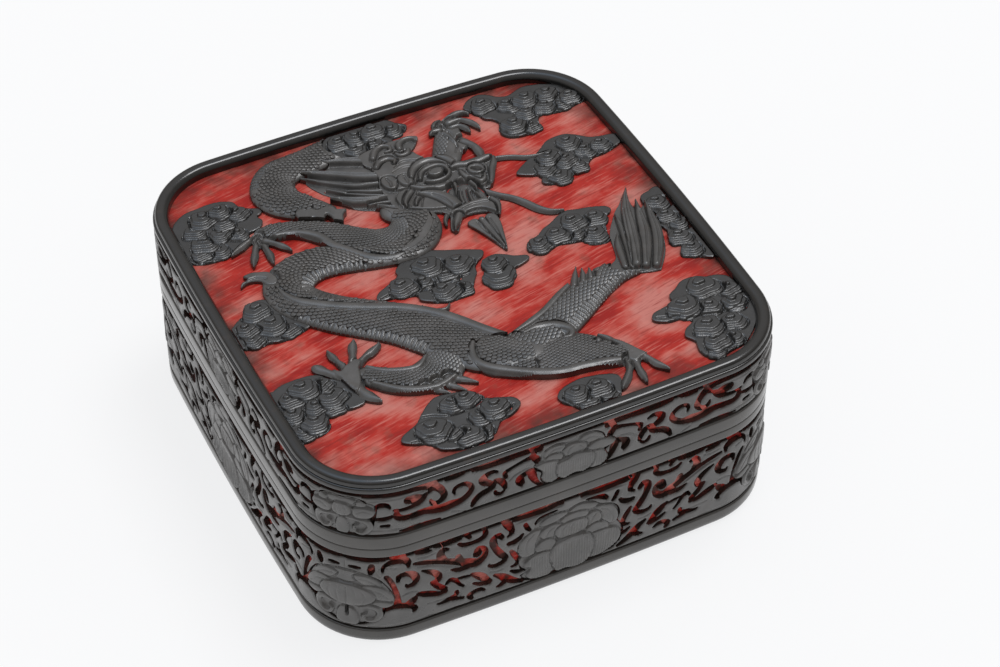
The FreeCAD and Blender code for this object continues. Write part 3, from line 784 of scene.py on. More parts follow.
def carved_mesh(name, carving, floor, place):
    """The closed mesh of a carving: its face, its cut walls and its back. place turns spots on the
    board and heights into places in the box's frame."""
    inside = np.minimum(carving.inside, carving.border).ravel()
    least = 0.14 * carving.spacing
    inside = np.where(np.abs(inside) < least, np.where(inside < 0, -least, least), inside)
    columns, rows = carving.x.shape
    spots = np.arange(columns * rows).reshape(columns, rows)
    a = spots[:-1, :-1].ravel()
    b = spots[1:, :-1].ravel()
    c = spots[1:, 1:].ravel()
    d = spots[:-1, 1:].ravel()
    triangles = np.vstack([np.stack([a, b, c], 1), np.stack([a, c, d], 1)])
    kept = inside[triangles] > 0
    count = kept.sum(1)

    def turned(rows_kept, wanted):
        """Triangles turned so that the odd corner comes first."""
        chosen = triangles[rows_kept]
        first = np.argmax(kept[rows_kept] == wanted, axis=1)
        order = (first[:, None] + np.arange(3)) % 3
        return np.take_along_axis(chosen, order, axis=1)

    whole = triangles[count == 3]
    tips = turned(count == 1, True)
    stubs = turned(count == 2, False)
    crossings = np.vstack([tips[:, [0, 1]], tips[:, [0, 2]], stubs[:, [0, 1]], stubs[:, [0, 2]]])
    pairs, which = np.unique(np.sort(crossings, axis=1), axis=0, return_inverse=True)
    which = which.ravel() + columns * rows
    tip_count = len(tips)
    stub_count = len(stubs)
    tip_b = which[:tip_count]
    tip_c = which[tip_count:2 * tip_count]
    stub_b = which[2 * tip_count:2 * tip_count + stub_count]
    stub_c = which[2 * tip_count + stub_count:]
    face = np.vstack([
        whole,
        np.stack([tips[:, 0], tip_b, tip_c], 1),
        np.stack([stub_b, stubs[:, 1], stubs[:, 2]], 1),
        np.stack([stub_b, stubs[:, 2], stub_c], 1)])
    edges = np.vstack([np.stack([tip_b, tip_c], 1), np.stack([stub_c, stub_b], 1)])
    share = inside[pairs[:, 0]] / (inside[pairs[:, 0]] - inside[pairs[:, 1]])
    fields = []
    for grid in (carving.x, carving.y, carving.height):
        values = grid.ravel()
        crossed = values[pairs[:, 0]] + share * (values[pairs[:, 1]] - values[pairs[:, 0]])
        fields.append(np.concatenate([values, crossed]))
    used, face = np.unique(face, return_inverse=True)
    face = face.reshape(-1, 3)
    renumber = np.full(len(fields[0]), -1)
    renumber[used] = np.arange(len(used))
    edges = renumber[edges]
    x, y, height = (field[used] for field in fields)
    top = len(used)
    height = np.maximum(height, floor + least_thickness)
    back = back_faces(edges, x, y)
    outline = np.arange(top) if back is None else np.unique(edges)
    under = np.full(top, -1)
    under[outline] = np.arange(len(outline)) + top
    verts = np.vstack([
        np.stack(place(x, y, height), 1),
        np.stack(place(x[outline], y[outline], np.full(len(outline), floor)), 1)])
    walls = np.vstack([
        np.stack([under[edges[:, 0]], under[edges[:, 1]], edges[:, 1]], 1),
        np.stack([under[edges[:, 0]], edges[:, 1], edges[:, 0]], 1)])
    faces = np.vstack([face, under[face[:, ::-1] if back is None else back], walls])
    mesh = bpy.data.meshes.new(name)
    mesh.vertices.add(len(verts))
    mesh.vertices.foreach_set("co", verts.astype(np.float32).ravel())
    mesh.loops.add(faces.size)
    mesh.loops.foreach_set("vertex_index", faces.astype(np.int32).ravel())
    mesh.polygons.add(len(faces))
    mesh.polygons.foreach_set("loop_start", np.arange(0, faces.size, 3, dtype=np.int32))
    mesh.update(calc_edges=True)
    mesh.shade_smooth()
    ends = np.empty(len(mesh.edges) * 2, np.int32)
    mesh.edges.foreach_get("vertices", ends)
    ends = ends.reshape(-1, 2)
    on_rim = np.zeros(len(verts), bool)
    on_rim[np.unique(edges)] = True
    on_rim[under[np.unique(edges)]] = True
    sharp = mesh.attributes.new("sharp_edge", "BOOLEAN", "EDGE")
    sharp.data.foreach_set("value", on_rim[ends].all(1))
    # Marks the cut walls, on which the carved finishes paint shade.
    cut_side = mesh.attributes.new("cut_side", "FLOAT", "POINT")
    cut_side.data.foreach_set("value", on_rim.astype(np.float32))
    mesh.validate()
    return mesh


# Carved bands of the four sides.
# Black lacquer cut through to the red ground in curling slots, the same on each side and turned
# over about the side's middle. The slots are traced in the marks of a straightened view of the
# front, from its left corner to its middle: place along, place down, and half width.
side_mark = 1 / 11930
side_mark_middle = 808
side_mark_zero = 788
lid_slots = [
    "60 68 3, 150 67 5, 230 65 8, 288 74 13, 318 95 11, 333 120 9, 338 140 9, 325 158 8, 303 162 7, "
     "292 150 6, 289 138 3",
    "100 130 4, 104 115 6, 120 107 8, 138 111 7, 148 124 4",
    "212 106 12, 238 112 15, 258 118 12, 275 104 6, 298 97 3",
    "163 138 4, 185 143 5, 215 142 6, 245 136 8, 262 126 6",
    "170 148 6, 172 170 10, 190 183 9, 230 185 10, 270 183 11, 300 190 13, 330 195 14, 360 193 14, "
     "395 190 10, 420 175 9, 435 155 8, 432 135 7, 415 119 7, 396 115 6, 378 122 6, 372 138 5, 375 149 3",
    "98 132 4, 97 150 5, 88 175 8, 82 198 8, 78 213 5",
    "98 172 5, 130 173 7, 154 166 5",
    "118 206 4, 142 207 5",
    "180 240 3, 220 241 5, 270 241 6, 320 244 4",
    "345 70 5, 378 68 8, 406 66 5",
    "440 68 5, 480 71 8, 540 72 8, 600 69 8, 650 68 9, 682 74 10",
    "527 113 4, 512 106 6, 492 110 8, 476 125 11, 481 142 11, 500 156 9, 511 170 10, 503 182 9, 472 192 10, "
     "449 210 9, 438 232 6",
    "519 148 4, 537 160 9, 551 180 9, 557 202 6",
    "520 202 4, 524 215 6, 540 222 5, 552 214 4",
    "559 152 6, 556 131 7, 580 118 5, 608 109 5, 635 102 6, 653 99 8, 662 84 8",
    "654 98 8, 668 115 10, 676 138 7, 681 156 4",
    "617 219 4, 606 200 8, 609 180 9, 630 168 8, 648 165 10, 655 185 12, 663 210 9, 677 235 6, 692 250 5",
    "614 190 9, 619 208 7"]
base_slots = [
    "5 410 4, 24 411 6, 39 412 4",
    "80 399 7, 78 420 10, 75 437 6",
    "116 428 4, 118 412 5, 131 395 7, 160 383 11, 188 387 12, 204 405 9, 205 424 5",
    "225 421 4, 262 433 8, 305 449 9, 345 466 10, 385 487 11, 420 507 15, 450 521 14, 475 508 11, 485 485 8, "
     "479 464 8, 460 457 10, 455 478 12",
    "347 406 5, 329 402 9, 320 424 11, 331 448 9, 342 460 6",
    "385 460 8, 393 477 8, 398 490 6",
    "253 469 3, 275 483 7, 297 500 9, 312 522 10, 309 542 9, 288 544 6",
    "292 551 7, 311 575 9, 334 598 8",
    "359 513 3, 376 522 7, 400 530 7, 424 533 3",
    "167 486 5, 171 466 8, 190 458 8, 212 465 10, 228 485 11, 232 505 9, 220 520 8, 200 522 6, 194 512 3",
    "128 459 7, 140 480 8, 151 510 7, 160 545 7, 162 575 9, 158 598 14",
    "158 604 11, 190 613 8, 215 604 12, 228 590 6",
    "112 612 8, 104 640 9, 88 660 7, 66 663 7, 52 646 6, 56 630 4",
    "122 622 6, 148 613 7, 185 618 7, 212 629 8, 225 645 8, 219 656 4",
    "238 578 6, 258 588 10, 285 600 10, 311 612 8, 336 611 7",
    "341 576 4, 353 563 7, 368 570 7, 380 586 6, 389 602 5, 402 616 4",
    "378 568 3, 405 572 5, 430 576 3",
    "435 573 6, 452 585 10, 470 602 12, 487 622 9, 503 640 6",
    "440 621 4, 465 636 7, 498 646 6",
    "546 442 7, 533 425 9, 515 433 9, 514 455 11, 520 480 9, 532 505 10, 546 528 10, 560 549 8, 546 565 8, "
     "521 570 7, 500 562 5, 498 554 3",
    "555 372 8, 569 391 12, 580 414 9, 583 434 7, 568 446 4",
    "572 484 7, 591 485 9, 612 475 8, 622 462 5",
    "633 418 6, 640 438 7, 650 453 5",
    "580 525 5, 590 545 8, 602 568 8, 607 590 7, 595 603 6, 583 603 4",
    "519 618 5, 543 635 10, 562 654 12, 587 677 10, 622 697 6",
    "556 668 9, 541 678 7, 527 680 3",
    "580 625 4, 600 638 7, 628 643 3",
    "377 633 6, 376 649 7, 350 658 8, 319 665 5, 306 662 3",
    "360 664 6, 400 675 5",
    "432 694 6, 425 678 9, 443 664 7, 465 664 7, 480 674 4",
    "236 374 5, 262 378 8, 285 384 4",
    "418 370 8, 427 385 6",
    "388 398 5, 402 410 7, 435 415 7, 467 411 8, 485 396 8, 483 376 7",
    "590 377 6, 640 381 8, 700 381 8, 770 376 6",
    "300 371 5, 340 376 8, 392 374 6",
    "0 367 6, 60 369 8, 122 371 5",
    "676 430 7, 690 417 9, 716 408 6, 750 402 3",
    "620 668 4, 646 664 6, 668 672 3"]
lid_side_lines = [
    "440 246 3, 560 248 4, 690 247 3",
    "0 244 3, 80 247 4, 160 243 3",
    "60 86 3, 150 84 4, 250 84 4, 286 92 3",
    "570 172 4, 588 156 5, 612 147 5, 646 142 4",
    "360 222 3, 385 233 4, 412 246 4",
    "60 222 3, 150 226 4, 250 230 3"]
base_side_lines = [
    "60 704 3, 200 702 4, 330 706 4, 520 713 3",
    "236 396 3, 270 404 4, 300 398 3",
    "500 590 3, 522 598 4, 548 596 3",
    "180 560 3, 206 552 4, 236 560 3",
    "106 410 3, 98 430 4, 104 452 3",
    "128 412 3, 145 414 4, 165 420 3",
    "235 440 3, 290 458 4, 345 486 4, 395 515 3",
    "590 395 3, 690 388 4, 770 384 3",
    "100 590 3, 60 586 4, 20 590 3",
    "270 640 3, 330 646 4, 400 660 3"]
band_depth = 0.00205
side_spacing = 0.0003
slot_ease = 1.4
flower_gap = 0.0003
flower_spacing = 0.00025
slot_step = 0.0009
line_step = 0.0012
line_depth = 0.0004
band_edge = 0.0008
band_drop = 0.0004
flower_room = 0.0012
petal_edge = 0.0014
petal_groove = 0.0005
lid_peony = [
    ("plate", -0.7, 0.1, "664 148, 690 135, 688 112, 705 90, 745 80, 790 92, 830 78, 880 80, 915 105, "
     "925 130, 950 138, 966 158, 940 172, 926 190, 936 215, 925 242, 890 250, 855 246, 815 252, 770 244, "
     "730 248, 700 240, 688 215, 692 190, 672 170"),
    ("plate", -0.3, 0.3, "698 122, 702 98, 725 84, 755 86, 776 98, 768 120, 740 132, 714 134"),
    ("plate", -0.3, 0.3, "826 104, 842 84, 880 82, 910 102, 924 126, 898 130, 864 126, 836 122"),
    ("cut", 0, 0.25, "712 112 3, 734 98 4, 762 100 3"),
    ("cut", 0, 0.25, "842 104 3, 872 98 4, 904 114 3"),
    ("plate", -0.2, 0.3, "762 132, 774 110, 800 100, 836 108, 856 126, 850 148, 810 154, 774 150"),
    ("cut", 0, 0.25, "782 140 3, 790 120 4, 804 112 3"),
    ("cut", 0, 0.25, "826 118 3, 838 130 4, 838 144 3"),
    ("plate", -0.15, 0.3, "698 142, 714 120, 746 120, 768 140, 758 160, 726 162"),
    ("plate", -0.15, 0.3, "858 152, 872 134, 900 126, 936 136, 962 152, 956 166, 926 174, 886 174"),
    ("plate", -0.05, 0.3, "666 150, 694 142, 734 148, 760 168, 766 200, 756 236, 726 247, 700 237, 689 212, "
     "694 188, 680 170"),
    ("plate", -0.05, 0.3, "850 182, 880 168, 914 178, 932 205, 930 236, 905 249, 870 246, 850 226"),
    ("plate", 0.15, 0.35, "745 188, 752 166, 785 158, 812 148, 850 155, 880 172, 885 200, 873 232, 845 247, "
     "810 240, 775 247, 750 232")] + [
    ("cut", 0, 0.3, [(x, 172, 2), (x + 1, 205, 4), (x, 244, 3)]) for x in range(756, 880, 9)] + [
    ("cut", 0, 0.28, [(x, 160, 2), (x, 205, 3), (x + 2, 240, 3)]) for x in range(700, 752, 9)] + [
    ("cut", 0, 0.28, [(x, 182, 2), (x, 210, 3), (x - 2, 244, 3)]) for x in range(892, 930, 9)]
base_peony = [
    ("plate", -0.7, 0.1, "607 545, 612 505, 634 478, 662 462, 680 438, 702 424, 745 415, 790 420, 836 408, "
     "882 420, 916 448, 960 468, 985 495, 993 530, 986 560, 1002 590, 1009 625, 1000 660, 975 690, 940 700, "
     "905 712, 860 708, 825 717, 790 714, 755 706, 715 716, 680 708, 642 700, 622 680, 638 655, 618 630, "
     "612 600, 622 580, 608 565"),
    ("plate", -0.4, 0.3, "690 456, 702 430, 742 418, 786 425, 792 440, 760 454, 722 464"),
    ("plate", -0.4, 0.3, "798 432, 834 412, 880 424, 908 442, 892 456, 850 452, 814 447"),
    ("plate", -0.35, 0.3, "904 456, 940 462, 974 490, 990 530, 982 564, 950 564, 926 532, 906 496"),
    ("cut", 0, 0.25, "920 470 3, 950 492 4, 966 530 4, 966 554 3"),
    ("plate", -0.35, 0.3, "609 550, 613 508, 636 480, 668 465, 692 472, 682 500, 672 540, 680 570, 650 586, "
     "621 578"),
    ("cut", 0, 0.25, "664 480 3, 640 506 4, 634 544 4, 646 572 3"),
    ("plate", -0.3, 0.3, "756 476, 786 446, 838 444, 872 462, 868 484, 820 482, 780 486"),
    ("plate", -0.2, 0.3, "688 502, 700 476, 730 462, 768 475, 774 500, 762 528, 726 526, 700 522"),
    ("plate", -0.2, 0.3, "848 522, 860 490, 890 470, 918 490, 922 520, 906 540, 870 534"),
    ("cut", 0, 0.25, "710 512 3, 722 488 4, 742 478 3"),
    ("cut", 0, 0.25, "880 522 3, 888 500 4, 900 486 3"),
    ("plate", -0.1, 0.3, "758 544, 744 512, 758 486, 800 478, 846 482, 870 500, 864 538, 830 549, 790 549"),
    ("cut", 0, 0.22, "776 536 3, 772 510 4, 786 492 3"),
    ("cut", 0, 0.22, "806 540 3, 806 512 4, 812 490 3"),
    ("cut", 0, 0.22, "836 536 3, 842 512 4, 836 492 3"),
    ("plate", -0.1, 0.3, "670 562, 690 530, 720 525, 747 546, 748 582, 722 602, 690 594"),
    ("plate", -0.1, 0.3, "866 548, 900 530, 936 545, 954 576, 932 598, 890 594, 864 574"),
    ("plate", 0.0, 0.3, "636 604, 670 582, 710 582, 740 602, 744 650, 730 702, 690 707, 650 697, 636 672, "
     "653 645, 628 626"),
    ("plate", 0.0, 0.3, "878 584, 930 577, 980 590, 1001 625, 993 660, 965 686, 920 701, 884 694, 870 640"),
    ("plate", 0.15, 0.4, "737 578, 758 560, 800 553, 850 557, 882 576, 895 620, 888 672, 864 706, 822 713, "
     "785 705, 750 702, 734 660, 728 615")] + [
    ("cut", 0, 0.3, [(x, 576, 2), (x + 1, 640, 4), (x, 704, 3)]) for x in range(744, 890, 10)] + [
    ("cut", 0, 0.28, [(x, 598, 2), (x, 650, 4), (x + 4, 696, 3)]) for x in range(654, 736, 10)] + [
    ("cut", 0, 0.28, [(x, 590, 2), (x, 640, 4), (x - 5, 692, 3)]) for x in range(900, 990, 10)] + [
    ("cut", 0, 0.22, [(x, 492, 2), (x - 3, 540, 3)]) for x in range(766, 862, 10)]
corner_mark_middle = -18
lid_corner_flower = [
    ("plate", -0.7, 0.1, "-18 78, 12 76, 42 80, 64 96, 90 112, 95 142, 82 165, 68 172, 76 200, 70 232, "
     "32 247, -18 248, -68 247, -106 232, -112 200, -104 172, -118 165, -131 142, -126 112, -100 96, -78 80, "
     "-48 76"),
    ("plate", -0.2, 0.3, "-18 80, 12 78, 34 90, 20 106, -18 106, -56 106, -70 90, -48 78"),
    ("plate", -0.1, 0.4, "32 93, 48 84, 66 100, 56 117, 34 113"),
    ("strand", -0.2, 0.5, "2 166 8, 37 172 11, 66 186 12, 74 212 11, 52 236 10, 26 228 8, 23 206 6, "
     "36 198 4"),
    ("plate", -0.1, 0.3, "-18 168, -2 180, 6 212, 2 242, -18 246, -38 242, -42 212, -34 180"),
    ("plate", 0.0, 0.4, "18 124, 42 113, 78 118, 93 139, 78 161, 42 165, 20 152"),
    ("cut", 0, 0.25, "34 140 3, 56 128 4, 80 136 3"),
    ("plate", 0.2, 0.35, "-18 100, 2 104, 15 126, 11 150, -18 162, -47 150, -51 126, -38 104"),
    ("cut", 0, 0.25, "-6 114 3, 0 132 4, -6 150 3")]
base_corner_flower = [
    ("plate", -0.7, 0.1, "-18 428, 20 432, 60 448, 95 470, 118 500, 136 535, 150 570, 140 602, 110 610, "
     "100 642, 85 670, 60 682, 30 694, -18 704, -66 694, -96 682, -121 670, -136 642, -146 610, -176 602, "
     "-186 570, -172 535, -154 500, -131 470, -96 448, -56 432"),
    ("plate", -0.3, 0.3, "-18 432, 14 434, 34 456, 24 480, -18 490, -60 480, -70 456, -50 434"),
    ("plate", -0.25, 0.3, "10 452, 52 448, 90 470, 106 500, 74 504, 32 488"),
    ("cut", 0, 0.25, "28 464 3, 60 470 4, 88 490 3"),
    ("plate", -0.15, 0.3, "40 502, 92 500, 130 535, 145 572, 112 578, 70 552"),
    ("cut", 0, 0.25, "62 516 3, 96 528 4, 124 560 3"),
    ("plate", -0.05, 0.3, "70 572, 112 576, 144 590, 124 606, 84 604, 52 592"),
    ("strand", -0.1, 0.5, "24 602 9, 60 600 12, 88 616 12, 94 645 12, 76 668 11, 48 668 9, 38 648 7, "
     "50 636 4"),
    ("plate", 0.0, 0.3, "-18 612, 6 622, 20 652, 20 692, -18 702, -56 692, -56 652, -42 622"),
    ("plate", 0.15, 0.4, "-18 494, 24 500, 66 524, 82 562, 46 590, -18 602, -82 590, -118 562, -102 524, "
     "-60 500"),
    ("cut", 0, 0.22, "10 512 3, 16 548 4, 10 588 3"),
    ("cut", 0, 0.22, "38 522 3, 48 550 4, 38 582 3"),
    ("cut", 0, 0.22, "-18 508 3, -18 548 4, -18 592 3"),
    ("cut", 0, 1.4, "-18 616 8, -18 650 7")]


def read_marks(marks):
    """Marks as rows of numbers. Most are written as text, with a comma after each mark."""
    if isinstance(marks, str):
        marks = [mark.split() for mark in marks.split(",")]
    return np.array(marks, float)


def side_marks(marks, turned_over):
    """Marks of the straightened view as places along the side from its middle, heights and half
    widths in metres."""
    marks = read_marks(marks)
    place = marks.copy()
    place[:, 0] = (marks[:, 0] - side_mark_middle) * side_mark * (-1 if turned_over else 1)
    place[:, 1] = (side_mark_zero - marks[:, 1]) * side_mark
    if marks.shape[1] > 2:
        place[:, 2] = marks[:, 2] * side_mark
    return place


def side_place(side):
    """Turns places along a side, heights and distances out into places in the box's frame."""
    def place(along, up, out):
        x, y = plan_spot(side_middles[side] + along, out)
        return x, y, up
    return place


def side_reach(side):
    """Half the length of a side's band, to the middle of its corners."""
    return half_front if side in ("front", "back") else half_flank


def corner_marks(marks, turned_over):
    """Marks of a corner flower as places along from the corner's middle, heights and half widths."""
    place = side_marks(marks, False)
    from_middle = (read_marks(marks)[:, 0] - corner_mark_middle) * side_mark
    place[:, 0] = from_middle * (-1 if turned_over else 1)
    return place


def carved_side(name, side, body, node, slots, lines, peony, corner_flower):
    """One side of a carved band, cut away round its flowers."""
    low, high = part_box(node)
    reach = side_reach(side)
    lap = side_spacing * 0.6
    band = Carving((-reach - lap, low.z), (reach + lap, high.z), side_spacing, True)
    for turned_over in (False, True):
        for slot in slots:
            route = eased_route(side_marks(slot, turned_over), slot_step)
            route[:, 2] *= slot_ease
            cut_through(band, route)
        for line in lines:
            cut_line(band, eased_route(side_marks(line, turned_over), line_step), line_depth)
    corner = corner_marks(corner_flower[0][3], False)
    outlines = [side_marks(peony[0][3], False), corner - (reach, 0), corner + (reach, 0)]
    for outline in outlines:
        window, inside = area_field(band, eased_outline(outline, fine_step), beyond_cut)
        band.inside[window] = np.minimum(band.inside[window], -inside - flower_gap)
    soften_edges(band, band_edge, band_drop)
    piece = link_piece(name, carved_mesh(name, band, -band_depth, side_place(side)))
    piece.data.materials.append(finishes["carved_black_lacquer"])
    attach(piece, body)
    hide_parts(node)


def carved_flower(name, body, node, layers, placings, middle):
    """A flower that stands a little proud of the band; placings turn its marks into places."""
    outline = placings[0](layers[0][3])
    flower = Carving(outline.min(0) - flower_room, outline.max(0) + flower_room, flower_spacing, False)
    for layer in layers:
        for placed in placings:
            carve(flower, [layer], placed, petal_edge, petal_groove)

    def place(along, up, out):
        x, y = plan_spot(middle + along, out)
        return x, y, up

    piece = link_piece(name, carved_mesh(name, flower, -band_depth, place))
    piece.data.materials.append(finishes["carved_black_lacquer"])
    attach(piece, body)
    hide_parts(node)


def upright_marks(marks):
    """Marks of a side's own flower."""
    return side_marks(marks, False)


def right_half(marks):
    """Marks of a corner's flower as they are drawn."""
    return corner_marks(marks, False)


def left_half(marks):
    """Marks of a corner's flower turned over about its middle."""
    return corner_marks(marks, True)


for body, slots, lines, peony, corner_flower in (
        ("base", base_slots, base_side_lines, base_peony, base_corner_flower),
        ("lid", lid_slots, lid_side_lines, lid_peony, lid_corner_flower)):
    for side, middle in side_middles.items():
        carved_side(
            body + "_scrolls_" + side, side, body, body + "_scroll_band", slots, lines, peony, corner_flower)
        carved_flower(
            body + "_peony_" + side, body, body + "_peony_medallions", peony, [upright_marks], middle)
        carved_flower(
            body + "_corner_flower_" + side, body, body + "_corner_flowers", corner_flower,
            [right_half, left_half], middle + side_reach(side))


# Relief on the lid.
# The picture is cut in black lacquer over the red panel. It is traced in the marks of a
# straightened view of the lid: place across, place down, and half width. Pieces are made from the
# one that lies over the others to the one beneath, and each is trimmed to those made before it.
lid_mark = 1 / 8000
lid_mark_centre = (689, 661)
relief_sink = 0.0002
trim_gap = 0.00006
scale_margin = 0.0001
picture_half_width = 0.071
picture_half_depth = 0.072
taken = Carving(
    (-picture_half_width, -picture_half_depth), (picture_half_width, picture_half_depth), 0.0003, False)


def lid_marks(marks):
    """Marks of the straightened view of the lid in metres: place across, place up, half width."""
    marks = read_marks(marks)
    place = marks * lid_mark
    place[:, 0] = (marks[:, 0] - lid_mark_centre[0]) * lid_mark
    place[:, 1] = (lid_mark_centre[1] - marks[:, 1]) * lid_mark
    return place


def panel_place(x, y, height):
    """Places on the red panel in the box's frame."""
    return x, y, panel_top + height


def read_grid(carving, values, x, y):
    """The value of a carving's grid at places, between its spots."""
    across = np.clip((x - carving.low[0]) / carving.spacing, 0, values.shape[0] - 1.001)
    up = np.clip((y - carving.low[1]) / carving.spacing, 0, values.shape[1] - 1.001)
    i = across.astype(int)
    j = up.astype(int)
    u = across - i
    v = up - j
    return (
        values[i, j] * (1 - u) * (1 - v) + values[i + 1, j] * u * (1 - v)
        + values[i, j + 1] * (1 - u) * v + values[i + 1, j + 1] * u * v)


panel_reach = panel_half_width - 0.0004


def relief_board(node, spacing, room):
    """An empty carving over a CAD node's place on the panel, with room round it."""
    low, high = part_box(node)
    return Carving(
        (max(low.x - room, -panel_reach), max(low.y - room, -panel_reach)),
        (min(high.x + room, panel_reach), min(high.y + room, panel_reach)), spacing, False)


def panel_inside(x, y):
    """How far a place is inside the panel's outline, along its straight sides and corners."""
    round_corner = corner_radius - (half_width - panel_reach)
    dx = np.abs(x) - (panel_reach - round_corner)
    dy = np.abs(y) - (panel_reach - round_corner)
    outside = np.hypot(np.maximum(dx, 0), np.maximum(dy, 0))
    return round_corner - outside - np.minimum(np.maximum(dx, dy), 0) * (np.maximum(dx, dy) < 0)


def trim(carving):
    """Cuts a carving back to the pieces that lie over it and to the panel."""
    over = read_grid(taken, taken.inside, carving.x, carving.y)
    carving.inside = np.minimum(carving.inside, -over - trim_gap)
    carving.inside = np.minimum(carving.inside, panel_inside(carving.x, carving.y))


def claim(carving):
    """Notes the place that a finished carving takes."""
    low = carving.low
    high = (carving.x[-1, 0], carving.y[0, -1])
    window = taken.window((low[0] + taken.spacing, low[1] + taken.spacing),
                          (high[0] - taken.spacing, high[1] - taken.spacing))
    here = read_grid(carving, carving.inside, taken.x[window], taken.y[window])
    taken.inside[window] = np.maximum(taken.inside[window], here)


def relief_piece(name, carving, set_ons=()):
    """Makes a lid relief piece, with the small repeated shapes that are set on it. The clouds lie
    lower than the dragon and are less dusty."""
    piece = link_piece(name + "_relief", carved_mesh(name, carving, -relief_sink, panel_place))
    for shape, spots in set_ons:
        set_out(piece, shape, spots)
    piece.data.materials.clear()
    finish = "clean_black_lacquer" if name.startswith("cloud") else "carved_black_lacquer"
    piece.data.materials.append(finishes[finish])
    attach(piece, "lid")
    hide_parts(name)


def setting_tree():
    """Sets one small shape at many spots, each with its own direction, tilt and size, and joins
    them to the piece they sit on."""
    tree, given, result = new_tree("set_out", [
        ("Spots", "Object"), ("Shape", "Object"), ("Finish", "Material")])
    spots = add_node(tree, "GeometryNodeObjectInfo", {"Object": given["Spots"]})
    shape = add_node(tree, "GeometryNodeObjectInfo", {"Object": given["Shape"], "As Instance": True})
    facing, heading, size = (
        add_node(tree, "GeometryNodeInputNamedAttribute", {"Name": label}, data_type="FLOAT_VECTOR")
        for label in ("facing", "heading", "size"))
    upright = add_node(tree, "FunctionNodeAlignRotationToVector", {
        "Vector": facing.outputs["Attribute"]}, axis="Z")
    turned = add_node(tree, "FunctionNodeAlignRotationToVector", {
        "Rotation": upright.outputs["Rotation"], "Vector": heading.outputs["Attribute"]},
        axis="X", pivot_axis="Z")
    place = add_node(tree, "GeometryNodeInstanceOnPoints", {
        "Points": spots.outputs["Geometry"], "Instance": shape.outputs["Geometry"],
        "Rotation": turned.outputs["Rotation"], "Scale": size.outputs["Attribute"]})
    real = add_node(tree, "GeometryNodeRealizeInstances", {"Geometry": place.outputs["Instances"]})
    join = add_node(tree, "GeometryNodeJoinGeometry", {"Geometry": real.outputs["Geometry"]})
    connect(tree, given["Geometry"], join.inputs["Geometry"])
    finish = add_node(tree, "GeometryNodeSetMaterial", {
        "Geometry": join.outputs["Geometry"], "Material": given["Finish"]})
    connect(tree, finish.outputs["Geometry"], result)
    return tree


set_out_tree = setting_tree()


def set_out(piece, shape, spots):
    """Joins a small shape to a piece at spots: place, facing, heading and size of each."""
    if not spots:
        return
    place, facing, heading, size = (np.array(part, np.float32) for part in zip(*spots))
    mesh = bpy.data.meshes.new("spots")
    mesh.vertices.add(len(place))
    mesh.vertices.foreach_set("co", place.ravel())
    for label, values in (("facing", facing), ("heading", heading), ("size", size)):
        attribute = mesh.attributes.new(label, "FLOAT_VECTOR", "POINT")
        attribute.data.foreach_set("vector", values.ravel())
    holder = link_piece("spots", mesh)
    grow(piece, set_out_tree, {
        "Spots": holder, "Shape": shape, "Finish": finishes["carved_black_lacquer"]})
    bpy.data.objects.remove(holder)


def small_shape(name, rings, crown_rise):
    """A small closed shape from rings of places, lowest first; the last rises to a middle point."""
    verts = []
    faces = []
    count = len(rings[0])
    for ring in rings:
        verts += ring
    for level in range(len(rings) - 1):
        for index in range(count):
            ahead = (index + 1) % count
            low = level * count
            high = low + count
            faces.append((low + index, low + ahead, high + ahead, high + index))
    middle = np.mean(np.array(rings[-1]), axis=0)
    verts.append(tuple(middle + np.array([0, 0, crown_rise])))
    top = (len(rings) - 1) * count
    for index in range(count):
        faces.append((top + index, top + (index + 1) % count, len(verts) - 1))
    faces.append(tuple(range(count))[::-1])
    mesh = bpy.data.meshes.new(name)
    mesh.from_pydata(verts, [], faces)
    mesh.shade_smooth()
    return link_piece(name, mesh)


